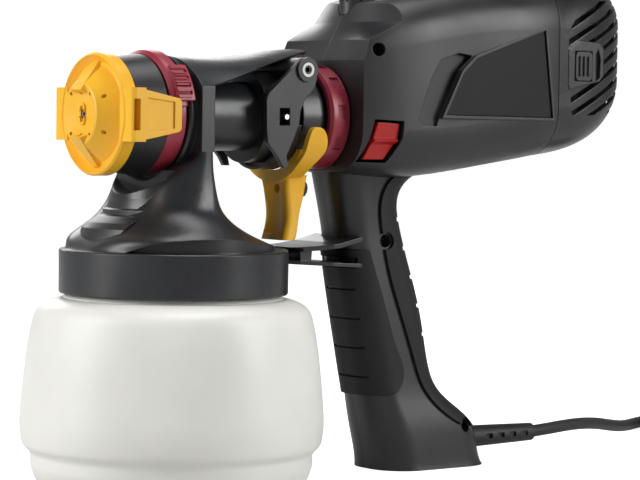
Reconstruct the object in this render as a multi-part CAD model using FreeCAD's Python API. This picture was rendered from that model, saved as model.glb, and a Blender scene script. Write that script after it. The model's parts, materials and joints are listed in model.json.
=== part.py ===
import FreeCAD, Part
import math
import os
from FreeCAD import Vector

os.makedirs("parts", exist_ok=True)

# Hand-held turbine paint sprayer. Millimetres, +Z up, the spray leaves along -X.
# The origin is the centre of the cup's base. The user's left side is -Y.

# Spray axis and the clearances that every fit shares
AXIS_Z = 182.5            # height of the nozzle's axis
RUN = 0.3                 # gap between curved pieces of different bodies
PIN_FIT = 0.06            # radial gap of a pin or shaft in its bore
SEAT = 0.1                # gap between pieces of one body that nest

# Cup
CUP_BASE_R = 66.0
CUP_FOOT_R = 69.6         # the band that stands on the floor
CUP_BELLY_R = 75.0
CUP_BELLY_Z = 30.0
CUP_STEP_Z = 19.5
CUP_SHOULDER_Z = 84.0
CUP_SHOULDER_R = 69.4
CUP_WALL = 2.2
CUP_NECK_R = 51.5
CUP_NECK_TOP = 110.0

# Lid, dome and neck, one moulding with the spray head
LID_R = 56.5
LID_Z0 = 95.0
LID_Z1 = 116.7
LID_WALL = 2.6
DOME_R = 47.5
DOME_TOP_Z = 134.0
COLLAR_R = 35.3
COLLAR_H = 2.4
CAVITY_R = 42.9           # hollow under the bell
NECK_R0 = 33.5
NECK_R1 = 29.5
NECK_TOP_Z = 156.0
GASKET_T = 2.0
PICKUP_R = 3.6            # suction tube
PICKUP_X = -6.0

# Spray head
HEAD_R0 = 29.8            # behind the width ring
HEAD_R1 = 27.5            # at the splash wall
HEAD_X0 = -11.0
SPIGOT_R = 24.0           # carries the union and the width ring
SPIGOT_X0 = -35.0
WALL_X0 = -6.5            # splash wall
WALL_X1 = 1.0
WALL_HALF = 33.0
HOOD_T = 2.2
BARREL_R = 17.3
BARREL_X1 = 40.0
DRUM_R = 23.2
DRUM_X0 = 39.0
DRUM_X1 = 72.0
CHAMBER_X0 = 41.5         # open mechanism chamber in the drum
CHAMBER_X1 = 61.0
CHAMBER_HALF_H = 7.5
SPRING_POCKET_X1 = 69.2
AIR_BORE_R = 3.0
AIR_BORE_OFFSET = 12.6
AIR_BORE_ANGLES = (60, 120)
CORE_R = 6.5              # tube round the needle
SOCKET_SPIGOT_R = 19.2    # tail that plugs into the housing
SOCKET_SPIGOT_X1 = 95.0

# Nozzle, union, air cap and width ring
UNION_X0 = -39.6
UNION_X1 = -22.6
UNION_R0 = 27.6
UNION_R1 = 29.6
CAP_X0 = -48.0            # front of the rim
CAP_X1 = -40.2
CAP_R = 29.7
CAP_FLOOR_X = -44.8        # groove between the boss and the rim
CAP_DISH_R = 14.4
CAP_DISH_X = -55.0
HORN_X = -57.5
HORN_R_IN = 11.5
HORN_R_OUT = 25.4
EAR_Y = 33.2              # inner face of an ear
EAR_T = 2.8
EAR_X1 = -20.1
EAR_HALF_ROOT = 12.8
EAR_HALF_TIP = 8.0
RING_X0 = -22.0
RING_X1 = -12.0
RING_R = 31.8
RING_TAB_R = 33.8
RING_TAB_X1 = -10.4
RING_TAB_ANGLES = (12.5, 46.0)
RING_HIDDEN_R = 28.2      # its lower part, behind the union
TIP_R = 1.6
TIP_X = -52.4

# Needle
NEEDLE_R = 1.5
NEEDLE_X1 = 66.0
CROSS_PIN_X = 47.6
CROSS_PIN_R = 1.3
CROSS_PIN_HALF = 27.6
NEEDLE_TRAVEL = 2.7

# Trigger
PIVOT_X = 59.5
PIVOT_Z = 206.0
PIVOT_BOSS_R = 6.0
PIVOT_PIN_R = 2.2
YOKE_Y0 = 24.6
YOKE_T = 2.6
BUSH_R = 3.7
YOKE_SADDLE_R0 = 24.9
YOKE_SADDLE_R1 = 26.6
SADDLE_X = 57.8           # where yoke and grip meet
SADDLE_R_IN = 29.7
SADDLE_T = 3.2
FINGER_HALF = 10.4
FINGER_FLUTE_R = 16.0     # hollow down the front of the finger piece
FINGER_Z0 = 120.5
KNOB_R = 4.6
KNOB_X0 = 73.6
KNOB_X1 = 78.2
KNOB_Z = 146.4
KNOB_SHAFT_R = 2.0

# Lock ring
LOCK_X0 = 76.2
LOCK_X1 = 88.4
LOCK_R = 26.4
LOCK_WALL = 3.6

# Housing
SHELL = 2.6
NOSE_X = 88.8             # flat front round the lock ring
BROW_Z = 211.7            # where the front starts to slope back
NOSE_TUBE_X0 = 77.0
NOSE_TUBE_X1 = 99.6
COVER_X = 210.5           # joint with the filter cover
COVER_GAP = 0.35
MOTOR_Z = 208.0
MOTOR_R = 25.0
SHROUD_R = 37.0
SHROUD_X1 = 204.6
IMPELLER_R = 34.0
SHAFT_R = 4.0
PAD_T = 1.6
PANEL_RECESS = 1.6
FRAME_W = 1.6             # raised frame round a side panel
FRAME_PROUD = 0.9
SCOOP_DEPTH = 3.4

# Air dial on top of the housing
DIAL_X = 110.0
DIAL_R = 8.6
DIAL_SEAT_Z = 235.0
DIAL_H = 16.0
DIAL_SPINDLE_R = 3.0

# Filter cover and its push buttons
LIP_GAP = 0.5
LIP_T = 1.8
SLOT_PITCH = 7.0
SLOT_H = 2.7
SLOT_SLANT = 27.0
LATCH_X0 = 222.0
LATCH_X1 = 233.6
LATCH_Z0 = 204.0
LATCH_Z1 = 219.2

# Cord
CORD_R = 3.3
RELIEF_FLANGE_X = 178.0    # the boot's flange inside the housing
RELIEF_FLANGE_T = 2.2
RELIEF_FLANGE_R = 7.4
RELIEF_R = 6.2
RELIEF_X0 = 188.5
RELIEF_X1 = 234.0
RELIEF_Z = 12.6


# Basic shapes

def vec(x, y, z):
    return Vector(x, y, z)


def tube_x(x0, x1, r_out, r_in=0.0, y=0.0, z=AXIS_Z):
    """a cylinder or tube along X"""
    body = Part.makeCylinder(r_out, x1 - x0, vec(x0, y, z), vec(1, 0, 0))
    if r_in > 0:
        body = body.cut(Part.makeCylinder(r_in, x1 - x0, vec(x0, y, z), vec(1, 0, 0)))
    return body


def tube_y(y0, y1, r_out, r_in, x, z):
    """a cylinder or tube along Y"""
    body = Part.makeCylinder(r_out, y1 - y0, vec(x, y0, z), vec(0, 1, 0))
    if r_in > 0:
        body = body.cut(Part.makeCylinder(r_in, y1 - y0, vec(x, y0, z), vec(0, 1, 0)))
    return body


def tube_z(z0, z1, r_out, r_in=0.0, x=0.0, y=0.0):
    """a cylinder or tube along Z"""
    body = Part.makeCylinder(r_out, z1 - z0, vec(x, y, z0))
    if r_in > 0:
        body = body.cut(Part.makeCylinder(r_in, z1 - z0, vec(x, y, z0)))
    return body


def block(x0, x1, y0, y1, z0, z1):
    return Part.makeBox(x1 - x0, y1 - y0, z1 - z0, vec(x0, y0, z0))


def revolve_x(points, z=AXIS_Z):
    """turn (x, radius) points about the spray axis"""
    wire = Part.makePolygon([vec(x, 0, z + r) for x, r in points] + [vec(points[0][0], 0, z + points[0][1])])
    return Part.Face(wire).revolve(vec(0, 0, z), vec(1, 0, 0), 360)


def revolve_z(edges_points):
    """turn (radius, z) points about the cup's axis"""
    pts = [vec(r, 0, z) for r, z in edges_points]
    wire = Part.makePolygon(pts + [pts[0]])
    return Part.Face(wire).revolve(vec(0, 0, 0), vec(0, 0, 1), 360)


def prism_y(points, y0, y1):
    """extrude an outline of (x, z) points from y0 to y1"""
    pts = [vec(x, y0, z) for x, z in points]
    wire = Part.makePolygon(pts + [pts[0]])
    return Part.Face(wire).extrude(vec(0, y1 - y0, 0))


def prism_z(points, z0, z1):
    """extrude an outline of (x, y) points from z0 to z1"""
    pts = [vec(x, y, z0) for x, y in points]
    wire = Part.makePolygon(pts + [pts[0]])
    return Part.Face(wire).extrude(vec(0, 0, z1 - z0))


def prism_x(points, x0, x1):
    """extrude an outline of (y, z) points from x0 to x1"""
    pts = [vec(x0, y, z) for y, z in points]
    wire = Part.makePolygon(pts + [pts[0]])
    return Part.Face(wire).extrude(vec(x1 - x0, 0, 0))


def smooth_outline(points, y0, y1):
    """extrude a closed smooth curve through (x, z) points along Y"""
    curve = Part.BSplineCurve()
    curve.interpolate([vec(x, y0, z) for x, z in points], PeriodicFlag=True)
    wire = Part.Wire([curve.toShape()])
    return Part.Face(wire).extrude(vec(0, y1 - y0, 0))


def rounded_wire(centre, u, v, half_u, half_v, radius):
    """a rounded rectangle round centre in the plane of the unit vectors u and v"""
    radius = min(radius, half_u * 0.98, half_v * 0.98)
    a = half_u - radius
    b = half_v - radius
    k = radius * math.sqrt(0.5)
    edges = []
    corners = [(a, b, 1, 1), (-a, b, -1, 1), (-a, -b, -1, -1), (a, -b, 1, -1)]
    for index, (cu, cv, su, sv) in enumerate(corners):
        start_on_u = index % 2 == 0
        p_u = centre + u * (cu + su * radius) + v * cv
        p_v = centre + u * cu + v * (cv + sv * radius)
        mid = centre + u * (cu + su * k) + v * (cv + sv * k)
        first, last = (p_u, p_v) if start_on_u else (p_v, p_u)
        edges.append((first, mid, last))
    parts = []
    for index, (first, mid, last) in enumerate(edges):
        parts.append(Part.Arc(first, mid, last).toShape())
        following = edges[(index + 1) % 4][0]
        parts.append(Part.LineSegment(last, following).toShape())
    return Part.Wire(parts)


def loft(wires, ruled=False):
    return Part.makeLoft(wires, True, ruled)


def fuse_all(shapes):
    result = shapes[0]
    for shape in shapes[1:]:
        result = result.fuse(shape)
    return result.removeSplitter()


def compound(shapes):
    return Part.makeCompound(shapes)


def save(node, shape):
    """write one node, as a single solid where it is one"""
    solids = shape.Solids
    out = solids[0] if len(solids) == 1 else Part.makeCompound(solids)
    out.exportStep("parts/" + node + ".step")
    print(node, len(solids), "solids", round(out.Volume / 1000.0, 2), "cm3", out.isValid())


# Cup and its lid

def cup_profile(inset):
    """(radius, z) points of the cup, from the base up to the mouth"""
    base = inset
    return [
        (CUP_BASE_R - 7.0 - inset, base),
        (CUP_BASE_R - inset, base + 2.2),
        (CUP_FOOT_R - 1.2 - inset, base + 7.0),
        (CUP_FOOT_R - inset, base + 12.0),
        (CUP_FOOT_R + 0.4 - inset, CUP_STEP_Z - 2.4 + inset * 0.5),
        (CUP_FOOT_R + 3.6 - inset, CUP_STEP_Z + 1.2 + inset * 0.5),
        (CUP_BELLY_R - 0.5 - inset, CUP_STEP_Z + 5.5),
        (CUP_BELLY_R - inset, CUP_BELLY_Z),
        (CUP_BELLY_R - 0.5 - inset, CUP_BELLY_Z + 12.0),
        (CUP_SHOULDER_R + 3.0 - inset, 0.5 * (CUP_BELLY_Z + 12.0 + CUP_SHOULDER_Z)),
        (CUP_SHOULDER_R - inset, CUP_SHOULDER_Z - 3.0),
        (CUP_SHOULDER_R - 2.4 - inset, CUP_SHOULDER_Z + 3.4),
        (CUP_SHOULDER_R - 7.6 - inset, CUP_SHOULDER_Z + 7.2),
        (CUP_NECK_R + 2.6 - inset, CUP_SHOULDER_Z + 8.8),
    ]


def curve_z(points):
    """a smooth curve through (radius, z) points"""
    curve = Part.BSplineCurve()
    curve.interpolate([vec(r, 0, z) for r, z in points])
    return curve.toShape()


def line_z(points):
    """straight edges through (radius, z) points"""
    pts = [vec(r, 0, z) for r, z in points]
    return [Part.LineSegment(a, b).toShape() for a, b in zip(pts, pts[1:])]


def cup():
    outer = cup_profile(0.0)
    inner = cup_profile(CUP_WALL)
    inner_neck = CUP_NECK_R - CUP_WALL
    edges = line_z([(0.0, 0.0), outer[0]]) + [curve_z(outer)]
    edges += line_z([outer[-1], (CUP_NECK_R, LID_Z0 + 0.6), (CUP_NECK_R, CUP_NECK_TOP), (inner_neck, CUP_NECK_TOP),
                     (inner_neck, LID_Z0 - 0.6), inner[-1]])
    edges += [curve_z(inner[::-1])] + line_z([inner[0], (0.0, CUP_WALL), (0.0, 0.0)])
    body = Part.Face(Part.Wire(edges)).revolve(vec(0, 0, 0), vec(0, 0, 1), 360)
    threads = [tube_z(z, z + 1.8, CUP_NECK_R + 1.3, CUP_NECK_R - 0.5) for z in (97.5, 102.5)]
    return fuse_all([body] + threads)


def lid_gasket():
    return tube_z(CUP_NECK_TOP + SEAT, CUP_NECK_TOP + GASKET_T - SEAT, CUP_NECK_R + 0.8, CUP_NECK_R - 5.5)


def lid_and_dome():
    """the threaded lid and, above it, the dome, collar and neck that show in front"""
    lid = revolve_z([(0.0, LID_Z0), (LID_R - 0.6, LID_Z0), (LID_R, LID_Z0 + 0.8), (LID_R, LID_Z1 - 0.6),
                     (LID_R - 0.6, LID_Z1), (0.0, LID_Z1)])
    dome = revolve_z([
        (0.0, LID_Z1 - 1.0),
        (DOME_R + 2.4, LID_Z1 - 1.0),
        (DOME_R + 2.4, LID_Z1 + 1.5),
        (DOME_R + 1.2, LID_Z1 + 2.5),
        (DOME_R, LID_Z1 + 6.9),
        (DOME_R - 1.8, LID_Z1 + 10.7),
        (DOME_R - 4.6, LID_Z1 + 13.5),
        (DOME_R - 9.4, DOME_TOP_Z - 0.8),
        (COLLAR_R, DOME_TOP_Z),
        (COLLAR_R, DOME_TOP_Z + COLLAR_H),
        (NECK_R0, DOME_TOP_Z + COLLAR_H + 0.6),
        (NECK_R0 - 1.8, DOME_TOP_Z + 8.0),
        (NECK_R1 + 0.8, NECK_TOP_Z - 6.0),
        (NECK_R1, NECK_TOP_Z),
        (0.0, NECK_TOP_Z),
    ])
    for side in (-1, 1):
        behind = Part.makeBox(200, 200, 120, vec(-100, -100, 0))
        behind.Placement = FreeCAD.Placement(vec(-44.0, side * 18.0, 124.0),
                                             FreeCAD.Rotation(vec(0, 0, 1), vec(0.382, side * 0.565, -0.558)),
                                             vec(0, 0, 0))
        dome = dome.cut(behind)
    return lid.fuse(dome.cut(block(-4.0, 80.0, -80, 80, LID_Z1 + 2.5, NECK_TOP_Z + 1)))


# The bell that spreads from the splash wall to the lid
BELL = [
    # height, front x, rear x, half-width, front corner radius, rear corner radius
    (116.5, -53.0, 54.0, 54.0, 52.0, 52.0),
    (119.0, -50.5, 45.0, 53.0, 47.0, 45.0),
    (123.4, -46.0, 31.4, 50.0, 38.0, 36.0),
    (129.8, -38.0, 16.5, 42.5, 32.0, 20.0),
    (136.8, -31.0, 8.1, 36.5, 26.0, 10.0),
    (144.5, -25.5, 4.4, 34.0, 21.0, 5.0),
    (153.0, -20.0, 2.2, 33.2, 16.0, 3.0),
    (160.0, -10.5, 1.4, WALL_HALF, 7.0, 2.6),
    (166.0, WALL_X0, WALL_X1, WALL_HALF, 2.6, 2.4),
]
# The lower edge of the bell's skirt beside the lid
SKIRT_EDGE = [(-46.0, 116.7), (-38.0, 121.0), (-30.0, 122.6), (-20.0, 123.3), (-10.0, 123.5), (8.0, 123.1), (20.0, 121.8),
              (36.0, 119.4), (50.0, 117.8), (62.0, 116.9)]
SKIRT_R = 49.5


def bell_section(row, inset):
    """a slice of the bell, a rectangle whose front and rear corners are round"""
    z, x0, x1, half, front, rear = row
    x0 += inset
    x1 -= inset
    half -= inset
    front = max(front - inset, 1.0)
    rear = max(rear - inset, 1.0)
    centres = [(x1 - rear, half - rear, rear), (x0 + front, half - front, front),
               (x0 + front, front - half, front), (x1 - rear, rear - half, rear)]
    arcs = []
    for index, (x, y, radius) in enumerate(centres):
        angles = [math.radians(90 * index + step) for step in (0, 45, 90)]
        arcs.append([vec(x + radius * math.cos(angle), y + radius * math.sin(angle), z) for angle in angles])
    edges = []
    for index, (start, mid, end) in enumerate(arcs):
        edges.append(Part.Arc(start, mid, end).toShape())
        edges.append(Part.LineSegment(end, arcs[(index + 1) % 4][0]).toShape())
    return Part.Wire(edges)


def bell_form(inset):
    return loft([bell_section(row, inset) for row in BELL])


def bell():
    """the bell, trimmed to its skirt's edge, with the splash wall on top of it"""
    low = LID_Z1 - 8.0
    under_edge = prism_y([(-75.0, low), (-75.0, SKIRT_EDGE[0][1])] + SKIRT_EDGE + [(75.0, SKIRT_EDGE[-1][1]), (75.0, low)],
                         -70, 70)
    outside = tube_z(low, 130.0, 80.0, SKIRT_R)
    return bell_form(0.0).cut(outside.common(under_edge)).fuse(lower_to_hood())


def lid_cavity():
    """room for the cup's neck and its thread, and the hollow under the bell"""
    roof = CUP_NECK_TOP + GASKET_T
    neck_room = tube_z(LID_Z0 - 1.0, roof, CUP_NECK_R + 1.3 + RUN)
    throat = tube_z(roof - 0.5, BELL[0][0] + 0.3, CAVITY_R)
    hollow = revolve_z([(0.0, roof), (CAVITY_R, roof), (CAVITY_R - 0.6, LID_Z1 + 6.3), (DOME_R - 9.0, LID_Z1 + 11.1),
                        (NECK_R0 - 8.0, DOME_TOP_Z - 4.0), (NECK_R0 - 8.0, DOME_TOP_Z + 4.0), (0.0, DOME_TOP_Z + 4.0)])
    return neck_room.fuse(throat).fuse(hollow.common(bell_form(LID_WALL + 0.6)))


# Spray head: the hood and the splash wall

def hood_section(x, half, edge_z, crown_z):
    """an arched strip across the head at x"""
    t = HOOD_T
    outer = Part.Arc(vec(x, -half, edge_z), vec(x, 0, crown_z), vec(x, half, edge_z)).toShape()
    inner_half = max(half - 0.9 * t, 0.4 * half)
    inner = Part.Arc(vec(x, inner_half, edge_z - 0.5 * t), vec(x, 0, crown_z - t),
                     vec(x, -inner_half, edge_z - 0.5 * t)).toShape()
    side_a = Part.LineSegment(vec(x, half, edge_z), vec(x, inner_half, edge_z - 0.5 * t)).toShape()
    side_b = Part.LineSegment(vec(x, -inner_half, edge_z - 0.5 * t), vec(x, -half, edge_z)).toShape()
    return Part.Wire([outer, side_a, inner, side_b])


HOOD = [
    # x, half-width, edge height, crown height
    (WALL_X0, 33.2, 196.6, 211.4),
    (12.0, 30.0, 200.2, 211.0),
    (31.0, 25.0, 205.8, 212.4),
    (48.0, 19.0, 210.4, 214.8),
    (62.0, 13.0, 213.6, 216.4),
    (72.0, 7.0, 215.4, 216.8),
    (77.0, 2.6, 215.8, 216.2),
]


def hood():
    return loft([hood_section(*row) for row in HOOD])


def lower_to_hood():
    """the splash wall above the bell, closed by the hood's arch"""
    edge_z = HOOD[0][2]
    crown_z = HOOD[0][3]
    half = WALL_HALF
    arc = Part.Arc(vec(WALL_X0, half, edge_z), vec(WALL_X0, 0, crown_z), vec(WALL_X0, -half, edge_z)).toShape()
    low = BELL[-1][0] - 1.0
    corners = [vec(WALL_X0, -half, edge_z), vec(WALL_X0, -half, low), vec(WALL_X0, half, low), vec(WALL_X0, half, edge_z)]
    lines = [Part.LineSegment(corners[i], corners[i + 1]).toShape() for i in range(3)]
    face = Part.Face(Part.Wire(lines + [arc]))
    return face.extrude(vec(WALL_X1 - WALL_X0, 0, 0))


def guide_tongue():
    """the flat tongue behind the lid that sits in the guard"""
    pts = [(50.0, -12.0), (62.0, -9.5), (66.2, -6.0), (66.2, 6.0), (62.0, 9.5), (50.0, 12.0)]
    return prism_z(pts, 113.2, 116.2)


def front_body():
    head = revolve_x([(HEAD_X0, 0), (HEAD_X0, HEAD_R0 - 1.0), (HEAD_X0 + 1.0, HEAD_R0), (WALL_X1 + 1, HEAD_R1),
                      (WALL_X1 + 1, 0)])
    swept = tube_x(-80, EAR_X1 + 0.5, math.hypot(EAR_Y + EAR_T, EAR_HALF_ROOT) + RUN).fuse(tube_x(-80, HEAD_X0, RING_R + RUN))
    solids = [
        lid_and_dome().fuse(bell()).cut(swept),
        hood(),
        guide_tongue(),
        head,
        tube_x(SPIGOT_X0, HEAD_X0 + 1, SPIGOT_R),
        tube_x(WALL_X1, BARREL_X1, BARREL_R),
        tube_x(DRUM_X0, DRUM_X1, DRUM_R),
        tube_x(DRUM_X1 - 1, DRUM_X1 + 3.0, SOCKET_SPIGOT_R + 2.0),
        tube_x(DRUM_X1, SOCKET_SPIGOT_X1, SOCKET_SPIGOT_R),
        tube_y(-YOKE_Y0 + RUN, YOKE_Y0 - RUN, PIVOT_BOSS_R, 0, PIVOT_X, PIVOT_Z),
    ]
    body = solids[0]
    for shape in solids[1:]:
        body = body.fuse(shape)
    slot_x0 = CROSS_PIN_X - CROSS_PIN_R - 0.8
    slot_x1 = CROSS_PIN_X + CROSS_PIN_R + NEEDLE_TRAVEL + 0.8
    cuts = [
        lid_cavity(),
        tube_z(DOME_TOP_Z - 6, AXIS_Z, PICKUP_R + SEAT, 0, PICKUP_X),
        tube_x(SPIGOT_X0 - 1, -12.0, SPIGOT_R - 3.0, CORE_R + 0.5),
        tube_x(SPIGOT_X0 - 1, SPRING_POCKET_X1, NEEDLE_R + 2.5),
        block(CHAMBER_X0, CHAMBER_X1, -DRUM_R - 2, DRUM_R + 2, AXIS_Z - CHAMBER_HALF_H, AXIS_Z + CHAMBER_HALF_H),
        tube_x(SPRING_POCKET_X1 + 1.8, SOCKET_SPIGOT_X1 + 1, SOCKET_SPIGOT_R - 3.2),
        block(slot_x0, slot_x1, -DRUM_R - 2, DRUM_R + 2, AXIS_Z - 2.2, AXIS_Z + 2.2),
        tube_y(-40, 40, PIVOT_PIN_R + PIN_FIT, 0, PIVOT_X, PIVOT_Z),
    ]
    for degrees in AIR_BORE_ANGLES:
        y = AIR_BORE_OFFSET * math.cos(math.radians(degrees))
        z = AXIS_Z + AIR_BORE_OFFSET * math.sin(math.radians(degrees))
        cuts.append(tube_x(-14.0, SPRING_POCKET_X1 + 3.0, AIR_BORE_R, 0, y, z))
    for shape in cuts:
        body = body.cut(shape)
    return body.removeSplitter()


# Pickup tube

def pickup_tube():
    """the suction tube, bent towards the front of the cup"""
    top = vec(PICKUP_X, 0, AXIS_Z - 8)
    bend = vec(PICKUP_X, 0, 96)
    foot = vec(-34, 0, 12)
    radius = 24.0
    run_in = (bend - top).normalize()
    run_out = (foot - bend).normalize()
    turn = run_in.getAngle(run_out)
    cut_back = radius * math.tan(0.5 * turn)
    start = bend - run_in * cut_back
    end = bend + run_out * cut_back
    middle_dir = (run_out - run_in).normalize()
    centre = bend + middle_dir * (radius / math.cos(0.5 * turn))
    mid = centre - middle_dir * radius
    path = Part.Wire([Part.LineSegment(top, start).toShape(), Part.Arc(start, mid, end).toShape(),
                      Part.LineSegment(end, foot).toShape()])
    outer = Part.Wire([Part.makeCircle(PICKUP_R, top, run_in)])
    inner = Part.Wire([Part.makeCircle(PICKUP_R - 1.0, top, run_in)])
    return path.makePipeShell([outer], True, False).cut(path.makePipeShell([inner], True, False))


# Nozzle group

def fluid_nozzle():
    profile = [(TIP_X, 0.9), (TIP_X, TIP_R), (TIP_X + 5.5, 3.4), (-44.6, 5.2), (-43.2, 5.2), (-43.2, 9.0),
               (-35.1, 9.0), (-35.1, 3.9 - SEAT), (-24.0, 3.9 - SEAT), (-24.0, 1.9), (TIP_X + 5.0, 1.9)]
    return revolve_x(profile)


def nozzle_union():
    """the black collar that holds the nozzle and carries the air cap"""
    body = revolve_x([(UNION_X0, SPIGOT_R + SEAT), (UNION_X0, UNION_R0 - 1.0), (UNION_X0 + 1.0, UNION_R0),
                      (UNION_X1 - 0.8, UNION_R1), (UNION_X1, UNION_R1 - 0.8), (UNION_X1, SPIGOT_R + SEAT)])
    web_plate = tube_x(-38.2, SPIGOT_X0 - SEAT, SPIGOT_R + 1.0, 9.0 + SEAT)
    holes = []
    for index in range(12):
        angle = math.radians(30 * index)
        holes.append(tube_x(-39, -34, 2.2, 0, 16.5 * math.cos(angle), AXIS_Z + 16.5 * math.sin(angle)))
    return body.fuse(web_plate).cut(compound(holes)).removeSplitter()


def horn(direction):
    """one air horn of the cap: a ridge that rises from the rim and ends in a face slanted to the centre"""
    foot_z = AXIS_Z + direction * (HORN_R_IN - 5.5)
    tip_z = AXIS_Z + direction * HORN_R_IN
    out_z = AXIS_Z + direction * HORN_R_OUT
    inner = [vec(-46.0, -11.0, foot_z), vec(-46.0, 11.0, foot_z), vec(HORN_X, 4.6, tip_z), vec(HORN_X, -4.6, tip_z)]
    outer = [vec(-43.6, -3.0, out_z), vec(-43.6, 3.0, out_z), vec(-46.0, 2.3, out_z), vec(-46.0, -2.3, out_z)]
    return loft([Part.makePolygon(pts + [pts[0]]) for pts in (inner, outer)], True)


def ear(side):
    """a finger ear on the rim, tapering rearwards, with a shallow recess in its outer face"""
    y0 = side * (EAR_Y - 0.2)
    y1 = side * (EAR_Y + EAR_T)
    half = [(CAP_X0 + 2.6, EAR_HALF_ROOT), (EAR_X1 - 1.3, EAR_HALF_TIP), (EAR_X1, EAR_HALF_TIP - 1.4)]
    outline = [(x, AXIS_Z - h) for x, h in half] + [(x, AXIS_Z + h) for x, h in half[::-1]]
    plate = prism_y(outline, min(y0, y1), max(y0, y1))
    root_y0 = side * 24.0
    root = block(CAP_X0 + 0.6, CAP_X1, min(root_y0, y1), max(root_y0, y1), AXIS_Z - EAR_HALF_ROOT, AXIS_Z + EAR_HALF_ROOT)
    root = root.makeChamfer(1.6, [edge for edge in root.Edges if abs(edge.tangentAt(0).z) > 0.9 and
                                  edge.CenterOfMass.x < CAP_X0 + 1.0 and abs(edge.CenterOfMass.y) > 30])
    recess_y = side * (EAR_Y + EAR_T - 0.8)
    recess = prism_y([(-39.0, AXIS_Z - 8.0), (-24.0, AXIS_Z - 6.3), (-24.0, AXIS_Z + 6.3), (-39.0, AXIS_Z + 8.0)],
                     min(recess_y, y1 + side), max(recess_y, y1 + side))
    return plate.fuse(root).cut(recess)


def air_cap():
    body = revolve_x([(CAP_X0, CAP_R - 1.5), (CAP_X0, CAP_R - 1.0), (CAP_X0 + 1.0, CAP_R), (CAP_X1 - 0.6, CAP_R),
                      (CAP_X1, CAP_R - 0.6), (CAP_X1, 9.6), (-44.2, 9.6), (-44.2, 5.8), (-51.2, 3.0), (-52.8, 2.6),
                      (-53.0, 6.0), (CAP_DISH_X, CAP_DISH_R), (CAP_DISH_X + 0.4, CAP_DISH_R + 0.9), (-45.2, 23.5),
                      (CAP_FLOOR_X, 25.2), (CAP_X0 + 0.8, CAP_R - 2.1)])
    for part in (horn(1), horn(-1), ear(1), ear(-1)):
        body = body.fuse(part)
    lip = block(-53.9, -52.0, -2.3, 2.3, AXIS_Z - 5.3, AXIS_Z + 5.3)
    lip = lip.makeFillet(2.2, [edge for edge in lip.Edges if abs(edge.tangentAt(0).x) > 0.9])
    slot = block(-54.5, -52.8, -1.1, 1.1, AXIS_Z - 3.8, AXIS_Z + 3.8)
    body = body.fuse(lip).cut(slot).cut(tube_x(-60.0, -50.0, 2.6))
    body = body.cut(tube_x(CAP_X1 - 0.01, EAR_X1 + 5, RING_R + RUN, 0))
    for side in (-1, 1):
        y0 = min(side * 26.6, side * 40)
        body = body.cut(block(CAP_X0 + 1.6, CAP_X1 - 3.2, y0, y0 + 13.4, AXIS_Z - 7.4, AXIS_Z + 7.4))
        body = body.cut(tube_x(-60.0, -50.5, 0.9, 0, 0, AXIS_Z + side * 10.2))
        for hand in (-1, 1):
            body = body.cut(tube_x(-60.0, -50.5, 0.9, 0, hand * 8.5, AXIS_Z + side * 9.6))
            body = body.cut(tube_x(-60.0, -46.0, 0.9, 0, hand * 16.0, AXIS_Z + side * 8.5))
    return body.removeSplitter()


def width_ring():
    """the ring that sets the width of the fan, with its ribbed thumb tab"""
    ring = revolve_x([(RING_X0, SPIGOT_R + RUN), (RING_X0, RING_R - 2.0), (RING_X0 + 1.6, RING_R - 0.3),
                      (RING_X0 + 4.0, RING_R), (RING_X1 - 2.4, RING_R), (RING_X1 - 0.4, RING_R - 1.6),
                      (RING_X1 - 0.4, SPIGOT_R + RUN)])
    hidden = tube_x(RING_X0 - 1, RING_X1, RING_R + 1, RING_HIDDEN_R)
    ring = ring.cut(hidden.common(block(RING_X0 - 1, RING_X1, -40, 40, AXIS_Z - 40, AXIS_Z + 4.5)))
    low, high = RING_TAB_ANGLES
    arc_pad = tube_x(EAR_X1 + 0.5, RING_TAB_X1, RING_TAB_R, RING_R - 1.5)
    far = 60.0
    start = math.radians(180 - low)
    stop = math.radians(180 - high)
    wedge = prism_x([(0, AXIS_Z), (far * math.cos(start), AXIS_Z + far * math.sin(start)),
                     (far * math.cos(0.5 * (start + stop)) * 1.2, AXIS_Z + far * math.sin(0.5 * (start + stop)) * 1.2),
                     (far * math.cos(stop), AXIS_Z + far * math.sin(stop))], RING_X0, 0)
    tab = arc_pad.common(wedge)
    grooves = []
    for index in range(4):
        angle = math.radians(180 - low - (index + 1) * (high - low) / 5)
        grooves.append(tube_x(RING_X0, RING_TAB_X1 - 1.2, 1.1, 0, RING_TAB_R * math.cos(angle),
                              AXIS_Z + RING_TAB_R * math.sin(angle)))
    return ring.fuse(tab).cut(compound(grooves)).removeSplitter()


# Needle group

def needle():
    return revolve_x([(TIP_X + 1.4, 0), (TIP_X + 6.5, NEEDLE_R), (NEEDLE_X1, NEEDLE_R), (NEEDLE_X1, 0)]).fuse(
        tube_x(CROSS_PIN_X + 5.0, CROSS_PIN_X + 6.6, 3.4)).fuse(
        tube_x(CROSS_PIN_X - 3.2, CROSS_PIN_X + 3.2, 3.6)).cut(
        tube_y(-10, 10, CROSS_PIN_R, 0, CROSS_PIN_X, AXIS_Z)).removeSplitter()


def cross_pin():
    return tube_y(-CROSS_PIN_HALF, CROSS_PIN_HALF, CROSS_PIN_R, 0, CROSS_PIN_X, AXIS_Z)


def needle_packing():
    return tube_x(26.0, 34.0, NEEDLE_R + 2.4, NEEDLE_R + PIN_FIT)


def packing_nut():
    hexagon = [(4.6 * math.cos(math.radians(60 * i)), AXIS_Z + 4.6 * math.sin(math.radians(60 * i))) for i in range(6)]
    head = prism_x(hexagon, CHAMBER_X0 - 1.2, CHAMBER_X0 + 1.6)
    body = tube_x(34.2, CHAMBER_X0, NEEDLE_R + 2.4).fuse(head.cut(tube_x(36, CHAMBER_X0, 9, 0)))
    return body.cut(tube_x(30, 50, NEEDLE_R + PIN_FIT)).removeSplitter()


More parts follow.
